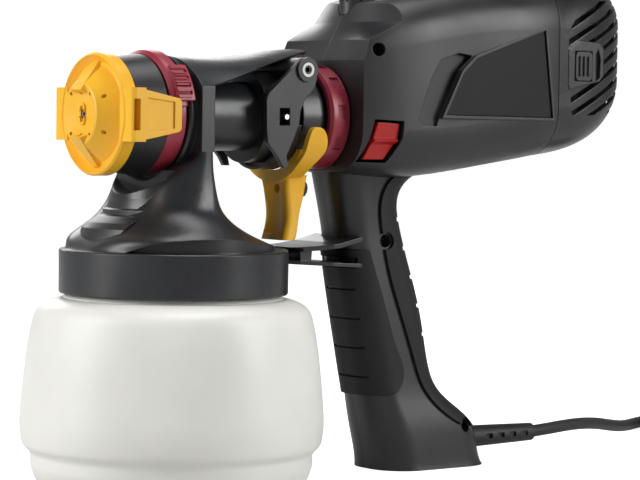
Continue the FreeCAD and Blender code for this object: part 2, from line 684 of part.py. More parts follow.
def needle_spring():
    """the closing spring between the needle's shoulder and the chamber's rear wall"""
    x0 = CROSS_PIN_X + 6.9
    x1 = CHAMBER_X1 + 5.6
    coils = 5
    pitch = (x1 - x0 - 1.0) / coils
    helix = Part.makeHelix(pitch, x1 - x0 - 1.0, 2.9)
    section = Part.Wire([Part.makeCircle(0.45, vec(2.9, 0, 0), vec(0, 1, 0))])
    spring = Part.Wire(helix).makePipeShell([section], True, True)
    spring.rotate(vec(0, 0, 0), vec(0, 1, 0), 90)
    spring.translate(vec(x0 + 0.5, 0, AXIS_Z))
    return spring


# Trigger group

YOKE_OUTLINE = [
    (PIVOT_X - 6.2, PIVOT_Z + 2.6), (PIVOT_X - 3.0, PIVOT_Z + 5.6), (PIVOT_X + 1.6, PIVOT_Z + 6.4),
    (PIVOT_X + 5.8, PIVOT_Z + 3.0), (PIVOT_X + 6.4, PIVOT_Z - 4.0), (64.4, 196.8), (58.6, 191.0), (56.2, 186.0),
    (55.2, 178.4), (51.5, 170.5), (47.8, 163.2), (49.3, 157.4), (46.0, 157.4), (43.6, 161.4), (36.6, 169.8),
    (35.8, 176.2), (35.4, 190.5), (36.4, 193.6),
]


def yoke_plate(side):
    y0 = side * YOKE_Y0
    y1 = side * (YOKE_Y0 + YOKE_T)
    plate = prism_y(YOKE_OUTLINE, min(y0, y1), max(y0, y1))
    window = block(CROSS_PIN_X - 4.2, CROSS_PIN_X + 2.0, min(y0, y1) - 1, max(y0, y1) + 1, AXIS_Z - 4.3, AXIS_Z + 4.3)
    bore = tube_y(min(y0, y1) - 1, max(y0, y1) + 1, BUSH_R + 0.6, 0, PIVOT_X, PIVOT_Z)
    return plate.cut(window).cut(bore)


def trigger_yoke():
    """two side plates joined by a saddle under the drum"""
    saddle = tube_x(46.5, SADDLE_X - 0.2, YOKE_SADDLE_R1, YOKE_SADDLE_R0)
    below = block(40, 60, -40, 40, AXIS_Z - 40, AXIS_Z - 4.0)
    saddle = saddle.common(below)
    return yoke_plate(-1).fuse(yoke_plate(1)).fuse(saddle).removeSplitter()


SADDLE_OUTLINE = [
    (62.0, 177.6), (66.6, 176.6), (70.2, 171.5), (70.9, 165.0), (67.4, 156.9), (66.6, 150.0), (56.6, 150.0),
    (55.2, 152.6), (57.0, 158.0), (58.8, 165.0), (59.2, 174.1),
]


def trigger_grip():
    """the yellow finger piece with its two wings round the drum"""
    ring = tube_x(SADDLE_X, 74.0, SADDLE_R_IN + SADDLE_T, SADDLE_R_IN)
    wings = ring.common(smooth_outline(SADDLE_OUTLINE, -40, 40))
    seat = tube_x(SADDLE_X, 62.0, SADDLE_R_IN + 0.5, YOKE_SADDLE_R1 + RUN)
    seat = seat.common(block(50, 70, -40, 40, AXIS_Z - 40, AXIS_Z - 16.0))
    top_z = AXIS_Z - SADDLE_R_IN + 0.5
    sections = []
    for z, x0, x1, half in ((top_z, 58.0, 72.6, FINGER_HALF + 2.6), (148.0, 59.2, 72.8, FINGER_HALF + 0.6),
                            (138.0, 60.6, 71.0, FINGER_HALF), (128.0, 60.4, 69.0, FINGER_HALF),
                            (123.4, 59.2, 68.2, FINGER_HALF + 0.2), (FINGER_Z0, 58.6, 67.0, FINGER_HALF + 0.4)):
        centre = vec(0.5 * (x0 + x1), 0, z)
        sections.append(rounded_wire(centre, vec(1, 0, 0), vec(0, 1, 0), 0.5 * (x1 - x0), half, 3.2))
    finger = loft(sections)
    channel = tube_z(FINGER_Z0 + 3.0, AXIS_Z - SADDLE_R_IN - SADDLE_T, FINGER_FLUTE_R, 0, 60.6 + 1.2 - FINGER_FLUTE_R)
    finger = finger.cut(tube_x(50, 80, SADDLE_R_IN, 0)).cut(channel)
    knob_hole = tube_x(60, 74, KNOB_SHAFT_R + 0.3, 0, 0, KNOB_Z)
    return wings.fuse(seat).fuse(finger).cut(knob_hole).removeSplitter()


def flow_knob():
    """the knurled stop screw behind the trigger"""
    head = revolve_x([(KNOB_X0, 0), (KNOB_X0, KNOB_R - 0.4), (KNOB_X0 + 0.4, KNOB_R), (KNOB_X1 - 0.8, KNOB_R),
                      (KNOB_X1, KNOB_R - 0.8), (KNOB_X1, 0)], KNOB_Z)
    shaft = tube_x(66.6, KNOB_X0 + 0.2, KNOB_SHAFT_R, 0, 0, KNOB_Z)
    flutes = []
    for index in range(10):
        angle = math.radians(36 * index)
        flutes.append(tube_x(KNOB_X0 + 0.6, KNOB_X1 + 1, 0.55, 0, KNOB_R * math.cos(angle), KNOB_Z + KNOB_R * math.sin(angle)))
    return head.fuse(shaft).cut(compound(flutes)).removeSplitter()


def pivot_pin():
    return tube_y(-YOKE_Y0 - YOKE_T - 0.8, YOKE_Y0 + YOKE_T + 0.8, PIVOT_PIN_R, 1.3, PIVOT_X, PIVOT_Z)


def pivot_bushes():
    """flanged bushes between the pin and the yoke's plates"""
    rings = []
    for side in (-1, 1):
        inside = side * (YOKE_Y0 + 0.2)
        flange = side * (YOKE_Y0 + YOKE_T + 0.2)
        outside = side * (YOKE_Y0 + YOKE_T + 1.4)
        sleeve = tube_y(min(inside, flange), max(inside, flange), BUSH_R + 0.5, PIVOT_PIN_R + PIN_FIT, PIVOT_X, PIVOT_Z)
        disc = tube_y(min(flange, outside), max(flange, outside), PIVOT_BOSS_R, PIVOT_PIN_R + PIN_FIT, PIVOT_X, PIVOT_Z)
        rings.append(sleeve.fuse(disc))
    return compound(rings)


# Lock ring

def lock_ring():
    """the twist ring that clamps the head to the housing, with pockets round its rim"""
    ring = revolve_x([(LOCK_X0, LOCK_R - LOCK_WALL), (LOCK_X0, LOCK_R - 1.6), (LOCK_X0 + 1.4, LOCK_R),
                      (LOCK_X1 - 1.2, LOCK_R), (LOCK_X1, LOCK_R - 1.2), (LOCK_X1, LOCK_R - LOCK_WALL)])
    pockets = []
    for index in range(10):
        pocket = block(LOCK_X0 + 4.4, LOCK_X1 - 2.2, -3.6, 3.6, AXIS_Z + LOCK_R - 1.1, AXIS_Z + LOCK_R + 3)
        pocket.rotate(vec(0, 0, AXIS_Z), vec(1, 0, 0), 36 * index + 12)
        pockets.append(pocket)
    return ring.cut(compound(pockets))


# Housing

BODY = [
    # x, bottom, top, half-width, corner radius
    (78.0, 158.0, 226.0, 31.0, 20.0),
    (92.0, 154.5, 236.0, 36.5, 22.0),
    (110.0, 152.5, 243.0, 40.5, 24.0),
    (140.0, 153.6, 249.5, 43.0, 25.0),
    (175.0, 158.4, 254.0, 44.5, 25.0),
    (COVER_X, 163.8, 256.6, 44.8, 25.0),
]
TAIL = [
    (COVER_X, 163.8, 256.6, 44.8, 25.0),
    (236.0, 168.4, 257.6, 43.6, 24.0),
    (252.0, 175.6, 256.6, 40.0, 22.0),
    (262.0, 184.0, 253.0, 34.0, 20.0),
    (266.5, 192.0, 248.0, 27.0, 17.0),
]
HANDLE = [
    # z, front x, rear x, half-width
    (166.0, 89.5, 156.0, 24.0),
    (156.0, 89.5, 146.0, 20.5),
    (148.0, 90.5, 134.0, 17.8),
    (138.0, 92.6, 130.6, 16.8),
    (124.0, 95.4, 133.4, 16.4),
    (100.0, 99.6, 141.2, 17.0),
    (76.0, 104.6, 148.0, 17.6),
    (56.0, 108.8, 152.2, 17.8),
    (42.0, 112.0, 158.4, 18.4),
    (31.0, 114.6, 171.4, 20.0),
    (18.0, 118.0, 184.6, 21.6),
    (0.0, 121.5, 191.2, 22.6),
]


def body_form(rows, inset):
    wires = []
    for x, low, high, half, corner in rows:
        centre = vec(x, 0, 0.5 * (low + high))
        wires.append(rounded_wire(centre, vec(0, 1, 0), vec(0, 0, 1), half - inset, 0.5 * (high - low) - inset,
                                  max(corner - inset, 2.0)))
    return loft(wires)


def handle_form(inset, floor_z=0.0):
    wires = []
    for z, x0, x1, half in HANDLE:
        centre = vec(0.5 * (x0 + x1), 0, z if z > 0 else floor_z)
        wires.append(rounded_wire(centre, vec(1, 0, 0), vec(0, 1, 0), 0.5 * (x1 - x0) - inset, half - inset,
                                  0.82 * (half - inset)))
    return loft(wires)


# The sloping brow above the lock ring, swept back to the sides
BROW = [
    # height, x at the middle, x at the sides
    (BROW_Z, NOSE_X, NOSE_X + 0.1),
    (222.0, NOSE_X + 5.5, NOSE_X + 2.2),
    (231.4, NOSE_X + 10.6, NOSE_X + 27.0),
    (241.0, NOSE_X + 15.2, NOSE_X + 36.0),
    (262.0, NOSE_X + 25.0, NOSE_X + 48.0),
]
BROW_HALF = 43.0


def brow_cut(shift=0.0):
    """what lies ahead of the sloping brow"""
    wires = []
    for z, x_mid, x_side in BROW:
        near = vec(x_side + shift, -BROW_HALF, z)
        far = vec(x_side + shift, BROW_HALF, z)
        corners = [far, vec(50, BROW_HALF, z), vec(50, -BROW_HALF, z), near]
        edges = [Part.Arc(near, vec(x_mid + shift, 0, z), far).toShape()]
        edges += [Part.LineSegment(a, b).toShape() for a, b in zip(corners, corners[1:])]
        wires.append(Part.Wire(edges))
    return loft(wires, True)


def front_cut(shift=0.0):
    """what lies ahead of the housing's face: the lock ring's room and the brow"""
    return block(50, NOSE_X + shift, -60, 60, 140, BROW_Z).fuse(brow_cut(shift))


def housing_outer():
    return body_form(BODY, 0.0).fuse(handle_form(0.0))


def housing_inner():
    body = body_form([(x + (SHELL if i == 0 else 0), lo, hi, w, c) for i, (x, lo, hi, w, c) in enumerate(BODY)], SHELL)
    grip = handle_form(SHELL, SHELL)
    return body.fuse(grip).cut(front_cut(SHELL))


def nose_tube():
    """the socket that takes the spray head's tail and carries the lock ring"""
    r_in = SOCKET_SPIGOT_R + RUN
    r_out = LOCK_R - LOCK_WALL - RUN
    return tube_x(NOSE_TUBE_X0, NOSE_TUBE_X1, r_out, r_in)


def side_panel_outline():
    return [(134.5, 184.6), (146.0, 206.6), (154.5, 214.0), (200.5, 229.6), (206.6, 184.0)]


def panel_recess(side, depth):
    """the shallow seat of a side panel, parallel to the side"""
    y_out = side * 60
    y_in = side * (BODY[4][3] - depth)
    return prism_y(side_panel_outline(), min(y_in, y_out), max(y_in, y_out))


def panel_frame(side):
    """the raised frame round a side panel"""
    y0 = side * (BODY[4][3] - 2.1)
    y1 = side * (BODY[4][3] + FRAME_PROUD)
    pts = [vec(x, min(y0, y1), z) for x, z in side_panel_outline()]
    wire = Part.makePolygon(pts + [pts[0]])
    grown = Part.Face(wire.makeOffset2D(FRAME_W, 2)).extrude(vec(0, abs(y1 - y0), 0))
    return grown.cut(Part.Face(wire).extrude(vec(0, abs(y1 - y0), 0)))


SCOOP = [(143.9, 216.4), (132.2, 212.6), (126.5, 202.3), (119.2, 181.5), (122.5, 179.0), (130.6, 179.0), (132.0, 184.5),
         (144.3, 207.4), (152.6, 215.2)]
SCOOP_X = (117.0, 152.0)     # the scoop deepens between these


def scoop(side, depth, floor):
    """the hollow ahead of a side panel, deepest at the panel's frame"""
    y_front = BODY[3][3] - 1.4 - floor
    y_rear = BODY[3][3] - depth
    plan = [(SCOOP_X[0], side * y_front), (SCOOP_X[1], side * y_rear), (SCOOP_X[1], side * 60), (SCOOP_X[0], side * 60)]
    return prism_y(SCOOP, -60, 60).common(prism_z(plan, 150, 240))


def switch_window(side_y0, side_y1):
    pts = [(95.0, 182.0), (111.0, 181.2), (110.5, 172.8), (105.0, 160.0), (89.4, 160.4)]
    return prism_y(pts, side_y0, side_y1)


SCREWS = [
    # x, z of the housing screws and the depth |y| of their heads
    (96.5, 217.0, 14.0), (118.9, 119.6, 9.5), (113.0, 72.0, 9.5), (171.6, 21.6, 9.5),
]


def housing_halves():
    outer = housing_outer().cut(front_cut())
    inner = housing_inner()
    shell = outer.cut(inner)
    bore = tube_x(70, NOSE_X + SHELL + 1, LOCK_R - LOCK_WALL - RUN)
    shell = shell.cut(bore).fuse(nose_tube())
    thick = outer.common(prism_z([(110, 34.0), (156, 34.0), (156, 60), (110, 60)], 174, 222))
    thick = thick.fuse(outer.common(prism_z([(110, -34.0), (156, -34.0), (156, -60), (110, -60)], 174, 222)))
    shell = shell.fuse(thick.common(prism_y(SCOOP, -60, 60)).common(body_form(BODY, 0.0)))
    for side in (-1, 1):
        shell = shell.cut(panel_recess(side, PANEL_RECESS)).fuse(panel_frame(side)).cut(scoop(side, SCOOP_DEPTH, 0.0))
    shell = shell.cut(switch_window(-60, -20))
    shell = shell.cut(tube_x(RELIEF_FLANGE_X + RELIEF_FLANGE_T + SEAT, 200, RELIEF_R + SEAT, 0, 0, RELIEF_Z))
    bosses = [tube_y(-60, 60, 4.6, 0, x, z) for x, z, seat in SCREWS]
    bosses.append(tube_z(DIAL_SEAT_Z - SHELL, 260, DIAL_R + RUN + SHELL, 0, DIAL_X, 0))
    shell = fuse_all([shell] + [boss.common(outer) for boss in bosses])
    shell = shell.cut(tube_z(DIAL_SEAT_Z, 300, DIAL_R + RUN, 0, DIAL_X, 0))
    shell = shell.cut(tube_z(200, 300, DIAL_SPINDLE_R + PIN_FIT, 0, DIAL_X, 0))
    for x, z, seat in SCREWS:
        shell = shell.cut(tube_y(-60, 60, 1.7, 0, x, z)).cut(tube_y(-60, -seat, 3.4, 0, x, z))
    left = shell.common(block(0, 300, -70, 0, -5, 300))
    right = shell.common(block(0, 300, 0, 70, -5, 300))
    return left, right


def largest(shape):
    return max(shape.Solids, key=lambda solid: solid.Volume)


# Air dial on top of the housing

def air_dial():
    top = DIAL_SEAT_Z + DIAL_H
    body = tube_z(DIAL_SEAT_Z + 0.4, top, DIAL_R).fuse(tube_z(DIAL_SEAT_Z - 8, DIAL_SEAT_Z + 1, DIAL_SPINDLE_R))
    body = body.translated(vec(DIAL_X, 0, 0))
    flutes = []
    for index in range(16):
        angle = math.radians(22.5 * index)
        flutes.append(tube_z(DIAL_SEAT_Z + 7.0, top + 1, 0.8, 0, DIAL_X + DIAL_R * math.cos(angle),
                             DIAL_R * math.sin(angle)))
    return body.cut(compound(flutes)).removeSplitter()


# Filter cover

# Side view of the slotted part of the cover, inside its plain border
GRILLE = [(217.5, 226.0), (219.5, 232.5), (224.0, 238.0), (236.0, 246.0), (285.0, 250.0), (285.0, 205.0), (262.0, 188.0),
          (222.0, 185.0), (220.0, 188.0), (219.0, 200.0)]
LATCH_PAD = (4.8, 8.4)       # border of the latch's raised pad, ahead and behind


def grille_slots():
    """the slanting slots of the cover"""
    lean = math.radians(SLOT_SLANT)
    slots = []
    for index in range(16):
        z = 150.0 + index * SLOT_PITCH / math.cos(lean)
        slot = block(0, 90.0, -60, 60, 0, SLOT_H)
        slot.rotate(vec(0, 0, 0), vec(0, 1, 0), -SLOT_SLANT)
        slots.append(slot.translated(vec(214.0, 0, z)))
    return compound(slots)


def latch_pad(side, y0, y1):
    """the raised pad round a push button"""
    low = LATCH_Z0 - 3.2
    high = LATCH_Z1 + 5.0
    x0 = LATCH_X0 - LATCH_PAD[0]
    x1 = LATCH_X1 + LATCH_PAD[1]
    outline = [(x0, low + 1.0), (x0 + 1.0, low - 1.5), (x1 - 3.0, low + 3.0), (x1, low + 6.0), (x1, high - 3.0), (x1 - 3.0, high),
               (x0 + 8.0, high + 1.0), (x0, high - 4.0)]
    return prism_y(outline, min(side * y0, side * y1), max(side * y0, side * y1))


def filter_cover():
    outer = body_form(TAIL, 0.0)
    inner = body_form([(x - (0 if i < 4 else SHELL), lo, hi, w, c) for i, (x, lo, hi, w, c) in enumerate(TAIL)], SHELL)
    joint = block(0, COVER_X + COVER_GAP, -80, 80, 100, 300)
    shell = outer.cut(inner).cut(joint)
    ribs = block(200, 300, -2.0, 2.0, 100, 300)
    cut = grille_slots().common(prism_y(GRILLE, -60, 60)).cut(ribs)
    for side in (-1, 1):
        cut = cut.cut(latch_pad(side, 20.0, 60.0))
    cover = shell.cut(cut)
    for side in (-1, 1):
        pad = latch_pad(side, BODY[5][3] - 5.0, BODY[5][3] + 0.2).cut(joint).cut(inner)
        groove_x = LATCH_X1 + 3.0
        groove = prism_y([(groove_x, LATCH_Z0 - 0.5), (groove_x + 2.6, LATCH_Z0 + 1.5), (groove_x + 3.2, LATCH_Z1 - 4.0),
                          (groove_x + 1.6, LATCH_Z1 + 2.0), (groove_x, LATCH_Z1 - 1.0)],
                         min(side * (BODY[5][3] - 1.9), side * 60), max(side * (BODY[5][3] - 1.9), side * 60))
        cover = cover.fuse(pad).cut(groove).cut(latch_block(side, RUN))
    return cover.fuse(cover_lip()).removeSplitter()


def cover_lip():
    """the tongue inside the cover's front edge that slides into the housing"""
    near = (COVER_X - 5.0, 163.2, 256.1, 44.7, 25.0)
    far = (COVER_X + 6.0, 164.9, 256.8, 44.6, 25.0)
    tongue = body_form([near, far], SHELL + LIP_GAP)
    root = body_form([near, far], SHELL - 0.4).cut(block(0, COVER_X + 1.0, -80, 80, 100, 300))
    hollow = body_form([(near[0] - 1.0,) + near[1:], (far[0] + 1.0,) + far[1:]], SHELL + LIP_GAP + LIP_T)
    return tongue.fuse(root).cut(hollow)


def latch_block(side, grow):
    y0 = side * 34.0
    y1 = side * 60.0
    return block(LATCH_X0 - grow, LATCH_X1 + grow, min(y0, y1), max(y0, y1), LATCH_Z0 - grow, LATCH_Z1 + grow)


def latch(side):
    """a push button on the cover's side, with three ribs"""
    face_y = side * 45.4
    back_y = side * 36.5
    body = block(LATCH_X0, LATCH_X1, min(face_y, back_y), max(face_y, back_y), LATCH_Z0, LATCH_Z1)
    body = body.makeFillet(2.4, [edge for edge in body.Edges if abs(edge.tangentAt(0).y) > 0.9])
    ribs = []
    for index in range(3):
        x = LATCH_X0 + 2.2 + 3.0 * index
        y0 = min(face_y, face_y + side * 0.9)
        ribs.append(block(x, x + 1.3, y0 - 0.01, y0 + 0.91, LATCH_Z0 + 2.4, LATCH_Z1 - 2.4))
    return fuse_all([body] + ribs)


def filter_foam():
    """the pad that filters the air, against the shroud and inside the cover's tongue"""
    near = (SHROUD_X1 + RUN, 163.0, 256.0, 44.7, 25.0)
    far = (COVER_X + 6.0, 165.4, 256.0, 44.4, 25.0)
    return body_form([near, far], SHELL + LIP_GAP + LIP_T + RUN)


# Turbine

FOOT_Y = BODY[3][3] - SHELL - 2 * SEAT     # the motor's feet stop at the shell


def motor_can():
    can = tube_x(126.0, 166.0, MOTOR_R, MOTOR_R - 2.2, 0, MOTOR_Z)
    front = tube_x(126.0, 128.4, MOTOR_R, 8.2, 0, MOTOR_Z)
    rear = tube_x(163.6, 166.0, MOTOR_R, 8.2, 0, MOTOR_Z)
    feet = []
    for side in (-1, 1):
        y0 = min(side * (MOTOR_R - 1.5), side * FOOT_Y)
        y1 = max(side * (MOTOR_R - 1.5), side * FOOT_Y)
        feet.append(block(150, 162, y0, y1, MOTOR_Z - 3.5, MOTOR_Z + 3.5))
    return fuse_all([can, front, rear] + feet)


def rotor():
    shaft = tube_x(120.0, 202.0, SHAFT_R, 0, 0, MOTOR_Z)
    core = tube_x(132.0, 160.0, MOTOR_R - 6.0, 0, 0, MOTOR_Z)
    return shaft.fuse(core)


def bearings():
    rings = []
    for x0, x1 in ((121.0, 126.0 - SEAT), (166.0 + SEAT, 170.6)):
        rings.append(tube_x(x0, x1, 8.0, SHAFT_R + PIN_FIT, 0, MOTOR_Z))
    return compound(rings)


def impeller(x0):
    """a shrouded fan wheel with curved blades"""
    back = tube_x(x0, x0 + 1.4, IMPELLER_R, SHAFT_R, 0, MOTOR_Z)
    hub = tube_x(x0, x0 + 8.0, 7.5, SHAFT_R, 0, MOTOR_Z)
    blades = []
    for index in range(9):
        blade = block(x0 + 1.0, x0 + 8.0, -0.7, 0.7, MOTOR_Z + 6.5, MOTOR_Z + IMPELLER_R - 0.6)
        blade.rotate(vec(0, 0, MOTOR_Z + 7), vec(1, 0, 0), 24)
        blade.rotate(vec(0, 0, MOTOR_Z), vec(1, 0, 0), 40 * index)
        blades.append(blade)
    keep = tube_x(x0, x0 + 8.0, IMPELLER_R, 0, 0, MOTOR_Z)
    return fuse_all([back, hub] + blades).common(keep).cut(tube_x(x0 - 1, x0 + 9, SHAFT_R, 0, 0, MOTOR_Z))


def turbine_shroud():
    can = tube_x(171.0, SHROUD_X1, SHROUD_R, SHROUD_R - 2.0, 0, MOTOR_Z)
    front = tube_x(171.0, 173.0, SHROUD_R, 14.0, 0, MOTOR_Z)
    rear = tube_x(SHROUD_X1 - 2.0, SHROUD_X1, SHROUD_R, 16.0, 0, MOTOR_Z)
    diffuser = tube_x(187.4, 189.0, SHROUD_R, 12.0, 0, MOTOR_Z)
    return fuse_all([can, front, rear, diffuser])


def shroud_gasket():
    """the soft ring that holds the shroud in the housing"""
    outer = body_form([(180.0, 159.2, 254.4, 44.5, 25.0), (184.0, 159.8, 254.8, 44.5, 25.0)], SHELL + 0.5)
    return outer.cut(tube_x(170, 200, SHROUD_R + SEAT, 0, 0, MOTOR_Z))


DUCT_WALL = 2.0


def air_duct():
    """the duct from the turbine to the head's socket"""
    start_x = NOSE_TUBE_X1 + SEAT
    stations = ((0.0, 0.0, 19.0), (6.0, 0.0, 19.0), (12.0, 4.0, 19.4), (17.5, 9.0, 20.0))

    def surface(inset):
        centres = [(vec(start_x + x, 0, AXIS_Z + rise), r - inset) for x, rise, r in stations]
        return loft([Part.Wire([Part.makeCircle(r, centre, vec(1, 0, 0))]) for centre, r in centres])

    return surface(0.0).cut(surface(DUCT_WALL))


# Switch, board, handle fittings

ROCKER_Z = 171.0
ROCKER_Y = -32.4


def power_rocker():
    """the two-faced rocker in the slanted window"""
    outline = [(96.4, 180.7), (109.8, 179.8), (109.3, 173.3), (103.8, 161.6), (90.9, 161.6)]
    faces = prism_x([(-31.0, 180.4), (-38.4, 180.4), (-37.4, 172.6), (-39.4, 171.2), (-36.4, 169.4),
                     (-32.8, 161.8), (-31.0, 161.8)], 80, 120)
    body = faces.common(prism_y(outline, -60, -20))
    return body.fuse(tube_x(93.5, 105.0, 2.4, 0, ROCKER_Y, ROCKER_Z)).removeSplitter()


def switch_body():
    """the switch behind the rocker, stepped to clear the head's socket"""
    shallow = block(NOSE_X + SHELL + RUN, 107.0, -29.6, -23.2, 166.8, 181.0)
    deep = block(NOSE_TUBE_X1 + 1.0, 107.0, -28.0, -20.4, 166.8, 176.0)
    return shallow.fuse(deep).removeSplitter()


def control_board():
    board = block(112.0, 146.0, -34.0, -32.4, 166.5, 184.0)
    chips = [block(116.0, 124.0, -32.5, -28.0, 170.0, 178.0), block(128.0, 133.0, -32.5, -26.0, 169.0, 179.0),
             tube_y(-32.5, -24.0, 4.0, 0, 140.0, 174.0)]
    return fuse_all([board] + chips)


def side_panel(side):
    y_in = side * (BODY[4][3] - PANEL_RECESS + SEAT)
    y_out = side * (BODY[4][3] - 0.1)
    outline = side_panel_outline()
    cx = sum(p[0] for p in outline) / len(outline)
    cz = sum(p[1] for p in outline) / len(outline)
    shrunk = [(cx + (x - cx) * 0.99, cz + (z - cz) * 0.99) for x, z in outline]
    plate = prism_y(shrunk, min(y_in, y_out), max(y_in, y_out))
    return plate


# Edges of the soft pads on the side of the handle: the curve, then the corners beyond the handle
PAD_FRONT_EDGE = [(108.0, 115.0), (112.6, 101.0), (118.4, 84.1), (126.0, 63.1), (130.2, 51.5), (128.0, 44.0), (116.6, 39.7)]
PAD_FRONT_BEYOND = [(80.0, 38.0), (80.0, 115.0)]
PAD_REAR_EDGE = [(131.0, 154.5), (118.6, 150.0), (114.8, 140.7), (116.6, 122.0), (120.5, 104.6), (127.5, 83.8), (137.3, 57.4),
                 (142.9, 44.0), (156.7, 29.0), (172.0, 21.0)]
PAD_REAR_BEYOND = [(210.0, 21.0), (210.0, 100.0), (150.0, 172.0)]


def pad_region(edge, beyond):
    """a slab across the handle, bounded by a curve and by corners outside the handle"""
    curve = Part.BSplineCurve()
    curve.interpolate([vec(x, -40, z) for x, z in edge])
    corners = [vec(x, -40, z) for x, z in [edge[-1]] + beyond + [edge[0]]]
    sides = [Part.LineSegment(a, b).toShape() for a, b in zip(corners, corners[1:])]
    return Part.Face(Part.Wire([curve.toShape()] + sides)).extrude(vec(0, 80, 0))


def grip_pad(edge, beyond):
    """a soft pad on the handle, clear of the guard's plates, the housing and the screw wells"""
    skin = handle_form(-PAD_T, 0.0).cut(handle_form(-SEAT, 0.0))
    pad = skin.common(pad_region(edge, beyond)).cut(body_form(BODY, -SEAT))
    pad = pad.cut(block(50, 102.0, -30, 30, 105.8, 111.2))
    for x, z, seat in (SCREWS[1], SCREWS[3]):
        pad = pad.cut(tube_y(-60, 0, 4.4, 0, x, z))
    return largest(pad)


def finger_guard():
    """the two thin plates and the strut between the lid and the handle"""
    upper = [(62.0, 117.0), (76.0, 117.8), (88.0, 119.0), (101.0, 122.2), (101.0, 119.8), (88.0, 116.6),
             (76.0, 115.4), (67.5, 115.0), (67.5, 116.6), (62.0, 116.8)]
    lower = [(58.4, 110.6), (101.0, 108.4), (101.0, 106.4), (58.4, 108.8)]
    strut = [(68.4, 109.0), (75.0, 108.6), (75.6, 116.2), (68.0, 116.2)]
    plan = prism_z([(57.0, -8.0), (66.0, -15.0), (84.0, -19.5), (101.0, -20.5), (101.0, 20.5), (84.0, 19.5),
                    (66.0, 15.0), (57.0, 8.0)], 100, 130)
    plates = prism_y(upper, -30, 30).fuse(prism_y(lower, -30, 30)).common(plan)
    guard = plates.fuse(prism_y(strut, -12, 12))
    guard = guard.cut(tube_z(90, 130, LID_R + RUN, 0))
    return guard.cut(handle_form(-SEAT, 0.0)).removeSplitter()


def housing_screws():
    screws = []
    for x, z, seat in SCREWS:
        head = tube_y(-seat - 2.5, -seat - 0.2, 3.1, 0, x, z)
        shank = tube_y(-seat - 0.4, 8.0, 1.6, 0, x, z)
        cross = block(x - 1.8, x + 1.8, -seat - 3.0, -seat - 1.6, z - 0.4, z + 0.4).fuse(
            block(x - 0.4, x + 0.4, -seat - 3.0, -seat - 1.6, z - 1.8, z + 1.8))
        screws.append(head.fuse(shank).cut(cross))
    return compound(screws)


# Strain relief, cord, coil and plug

def strain_relief():
    neck_x = RELIEF_FLANGE_X + RELIEF_FLANGE_T
    boot = revolve_x([(RELIEF_FLANGE_X, CORD_R), (RELIEF_FLANGE_X, RELIEF_FLANGE_R), (neck_x, RELIEF_FLANGE_R),
                      (neck_x, RELIEF_R), (RELIEF_X0, RELIEF_R), (RELIEF_X0 + 2, RELIEF_R - 0.3),
                      (RELIEF_X1, 4.8), (RELIEF_X1, CORD_R)], RELIEF_Z)
    slots = []
    for index in range(4):
        x = RELIEF_X0 + 10.0 + 8.5 * index
        for side in (-1, 1):
            y0 = min(side * 3.9, side * 8)
            slots.append(block(x, x + 4.4, y0, y0 + 4.1, RELIEF_Z - 1.3, RELIEF_Z + 1.3))
    return boot.cut(compound(slots))


# Hand-chosen route of the cord over the floor, from the strain relief to the coil
COIL_X = 415.0
COIL_Y = 22.0
COIL_R = 39.0
COIL_HALF_W = 10.0
COIL_H = 17.0
CORD_POINTS = [
    (RELIEF_X1, 0.0, RELIEF_Z),
    (248.0, 0.8, 12.1),
    (262.0, 8.0, 9.4),
    (274.0, 20.0, 6.6),
    (285.0, 36.0, 4.4),
    (298.0, 53.0, 3.6),
    (316.0, 67.0, 3.6),
    (338.0, 75.0, 3.6),
    (362.0, 76.5, 3.6),
    (384.0, 70.0, 3.6),
    (COIL_X - 10.0, COIL_Y + COIL_R, 3.6),
]


def corner_radius(before, point, after):
    run_in = point - before
    run_out = after - point
    turn = run_in.getAngle(run_out)
    return 0.45 * min(run_in.Length, run_out.Length) / math.tan(0.5 * turn), turn


def cord_path(points):
    pts = [vec(*p) for p in points]
    edges = []
    start = pts[0]
    radii = []
    for before, point, after in zip(pts, pts[1:], pts[2:]):
        radius, turn = corner_radius(before, point, after)
        radii.append(round(radius, 1))
        run_in = (point - before).normalize()
        run_out = (after - point).normalize()
        back = radius * math.tan(0.5 * turn)
        arc_start = point - run_in * back
        arc_end = point + run_out * back
        inward = (run_out - run_in).normalize()
        mid = point + inward * (radius / math.cos(0.5 * turn) - radius)
        edges.append(Part.LineSegment(start, arc_start).toShape())
        edges.append(Part.Arc(arc_start, mid, arc_end).toShape())
        start = arc_end
    edges.append(Part.LineSegment(start, pts[-1]).toShape())
    print("cord radii", radii)
    return Part.Wire(edges)


def cord():
    path = cord_path(CORD_POINTS)
    direction = vec(*CORD_POINTS[1]) - vec(*CORD_POINTS[0])
    section = Part.Wire([Part.makeCircle(CORD_R, vec(*CORD_POINTS[0]), direction)])
    tube = path.makePipeShell([section], True, False)
    print("cord length", round(path.Length, 1), "volume ratio", round(tube.Volume / (math.pi * CORD_R ** 2 * path.Length), 4))
    return tube


def cord_coil():
    outer = COIL_R + COIL_HALF_W
    inner = COIL_R - COIL_HALF_W
    ring = tube_z(0.3, COIL_H, outer, inner, COIL_X, COIL_Y)
    edges = [edge for edge in ring.Edges if abs(edge.Length - 2 * math.pi * outer) < 1 or
             abs(edge.Length - 2 * math.pi * inner) < 1]
    return ring.makeFillet(3.0, edges)


PLUG_X0 = COIL_X - COIL_R + COIL_HALF_W + 0.8      # the plug's tail lies at the coil's inside
PLUG_Y = COIL_Y
PLUG_Z = 9.0


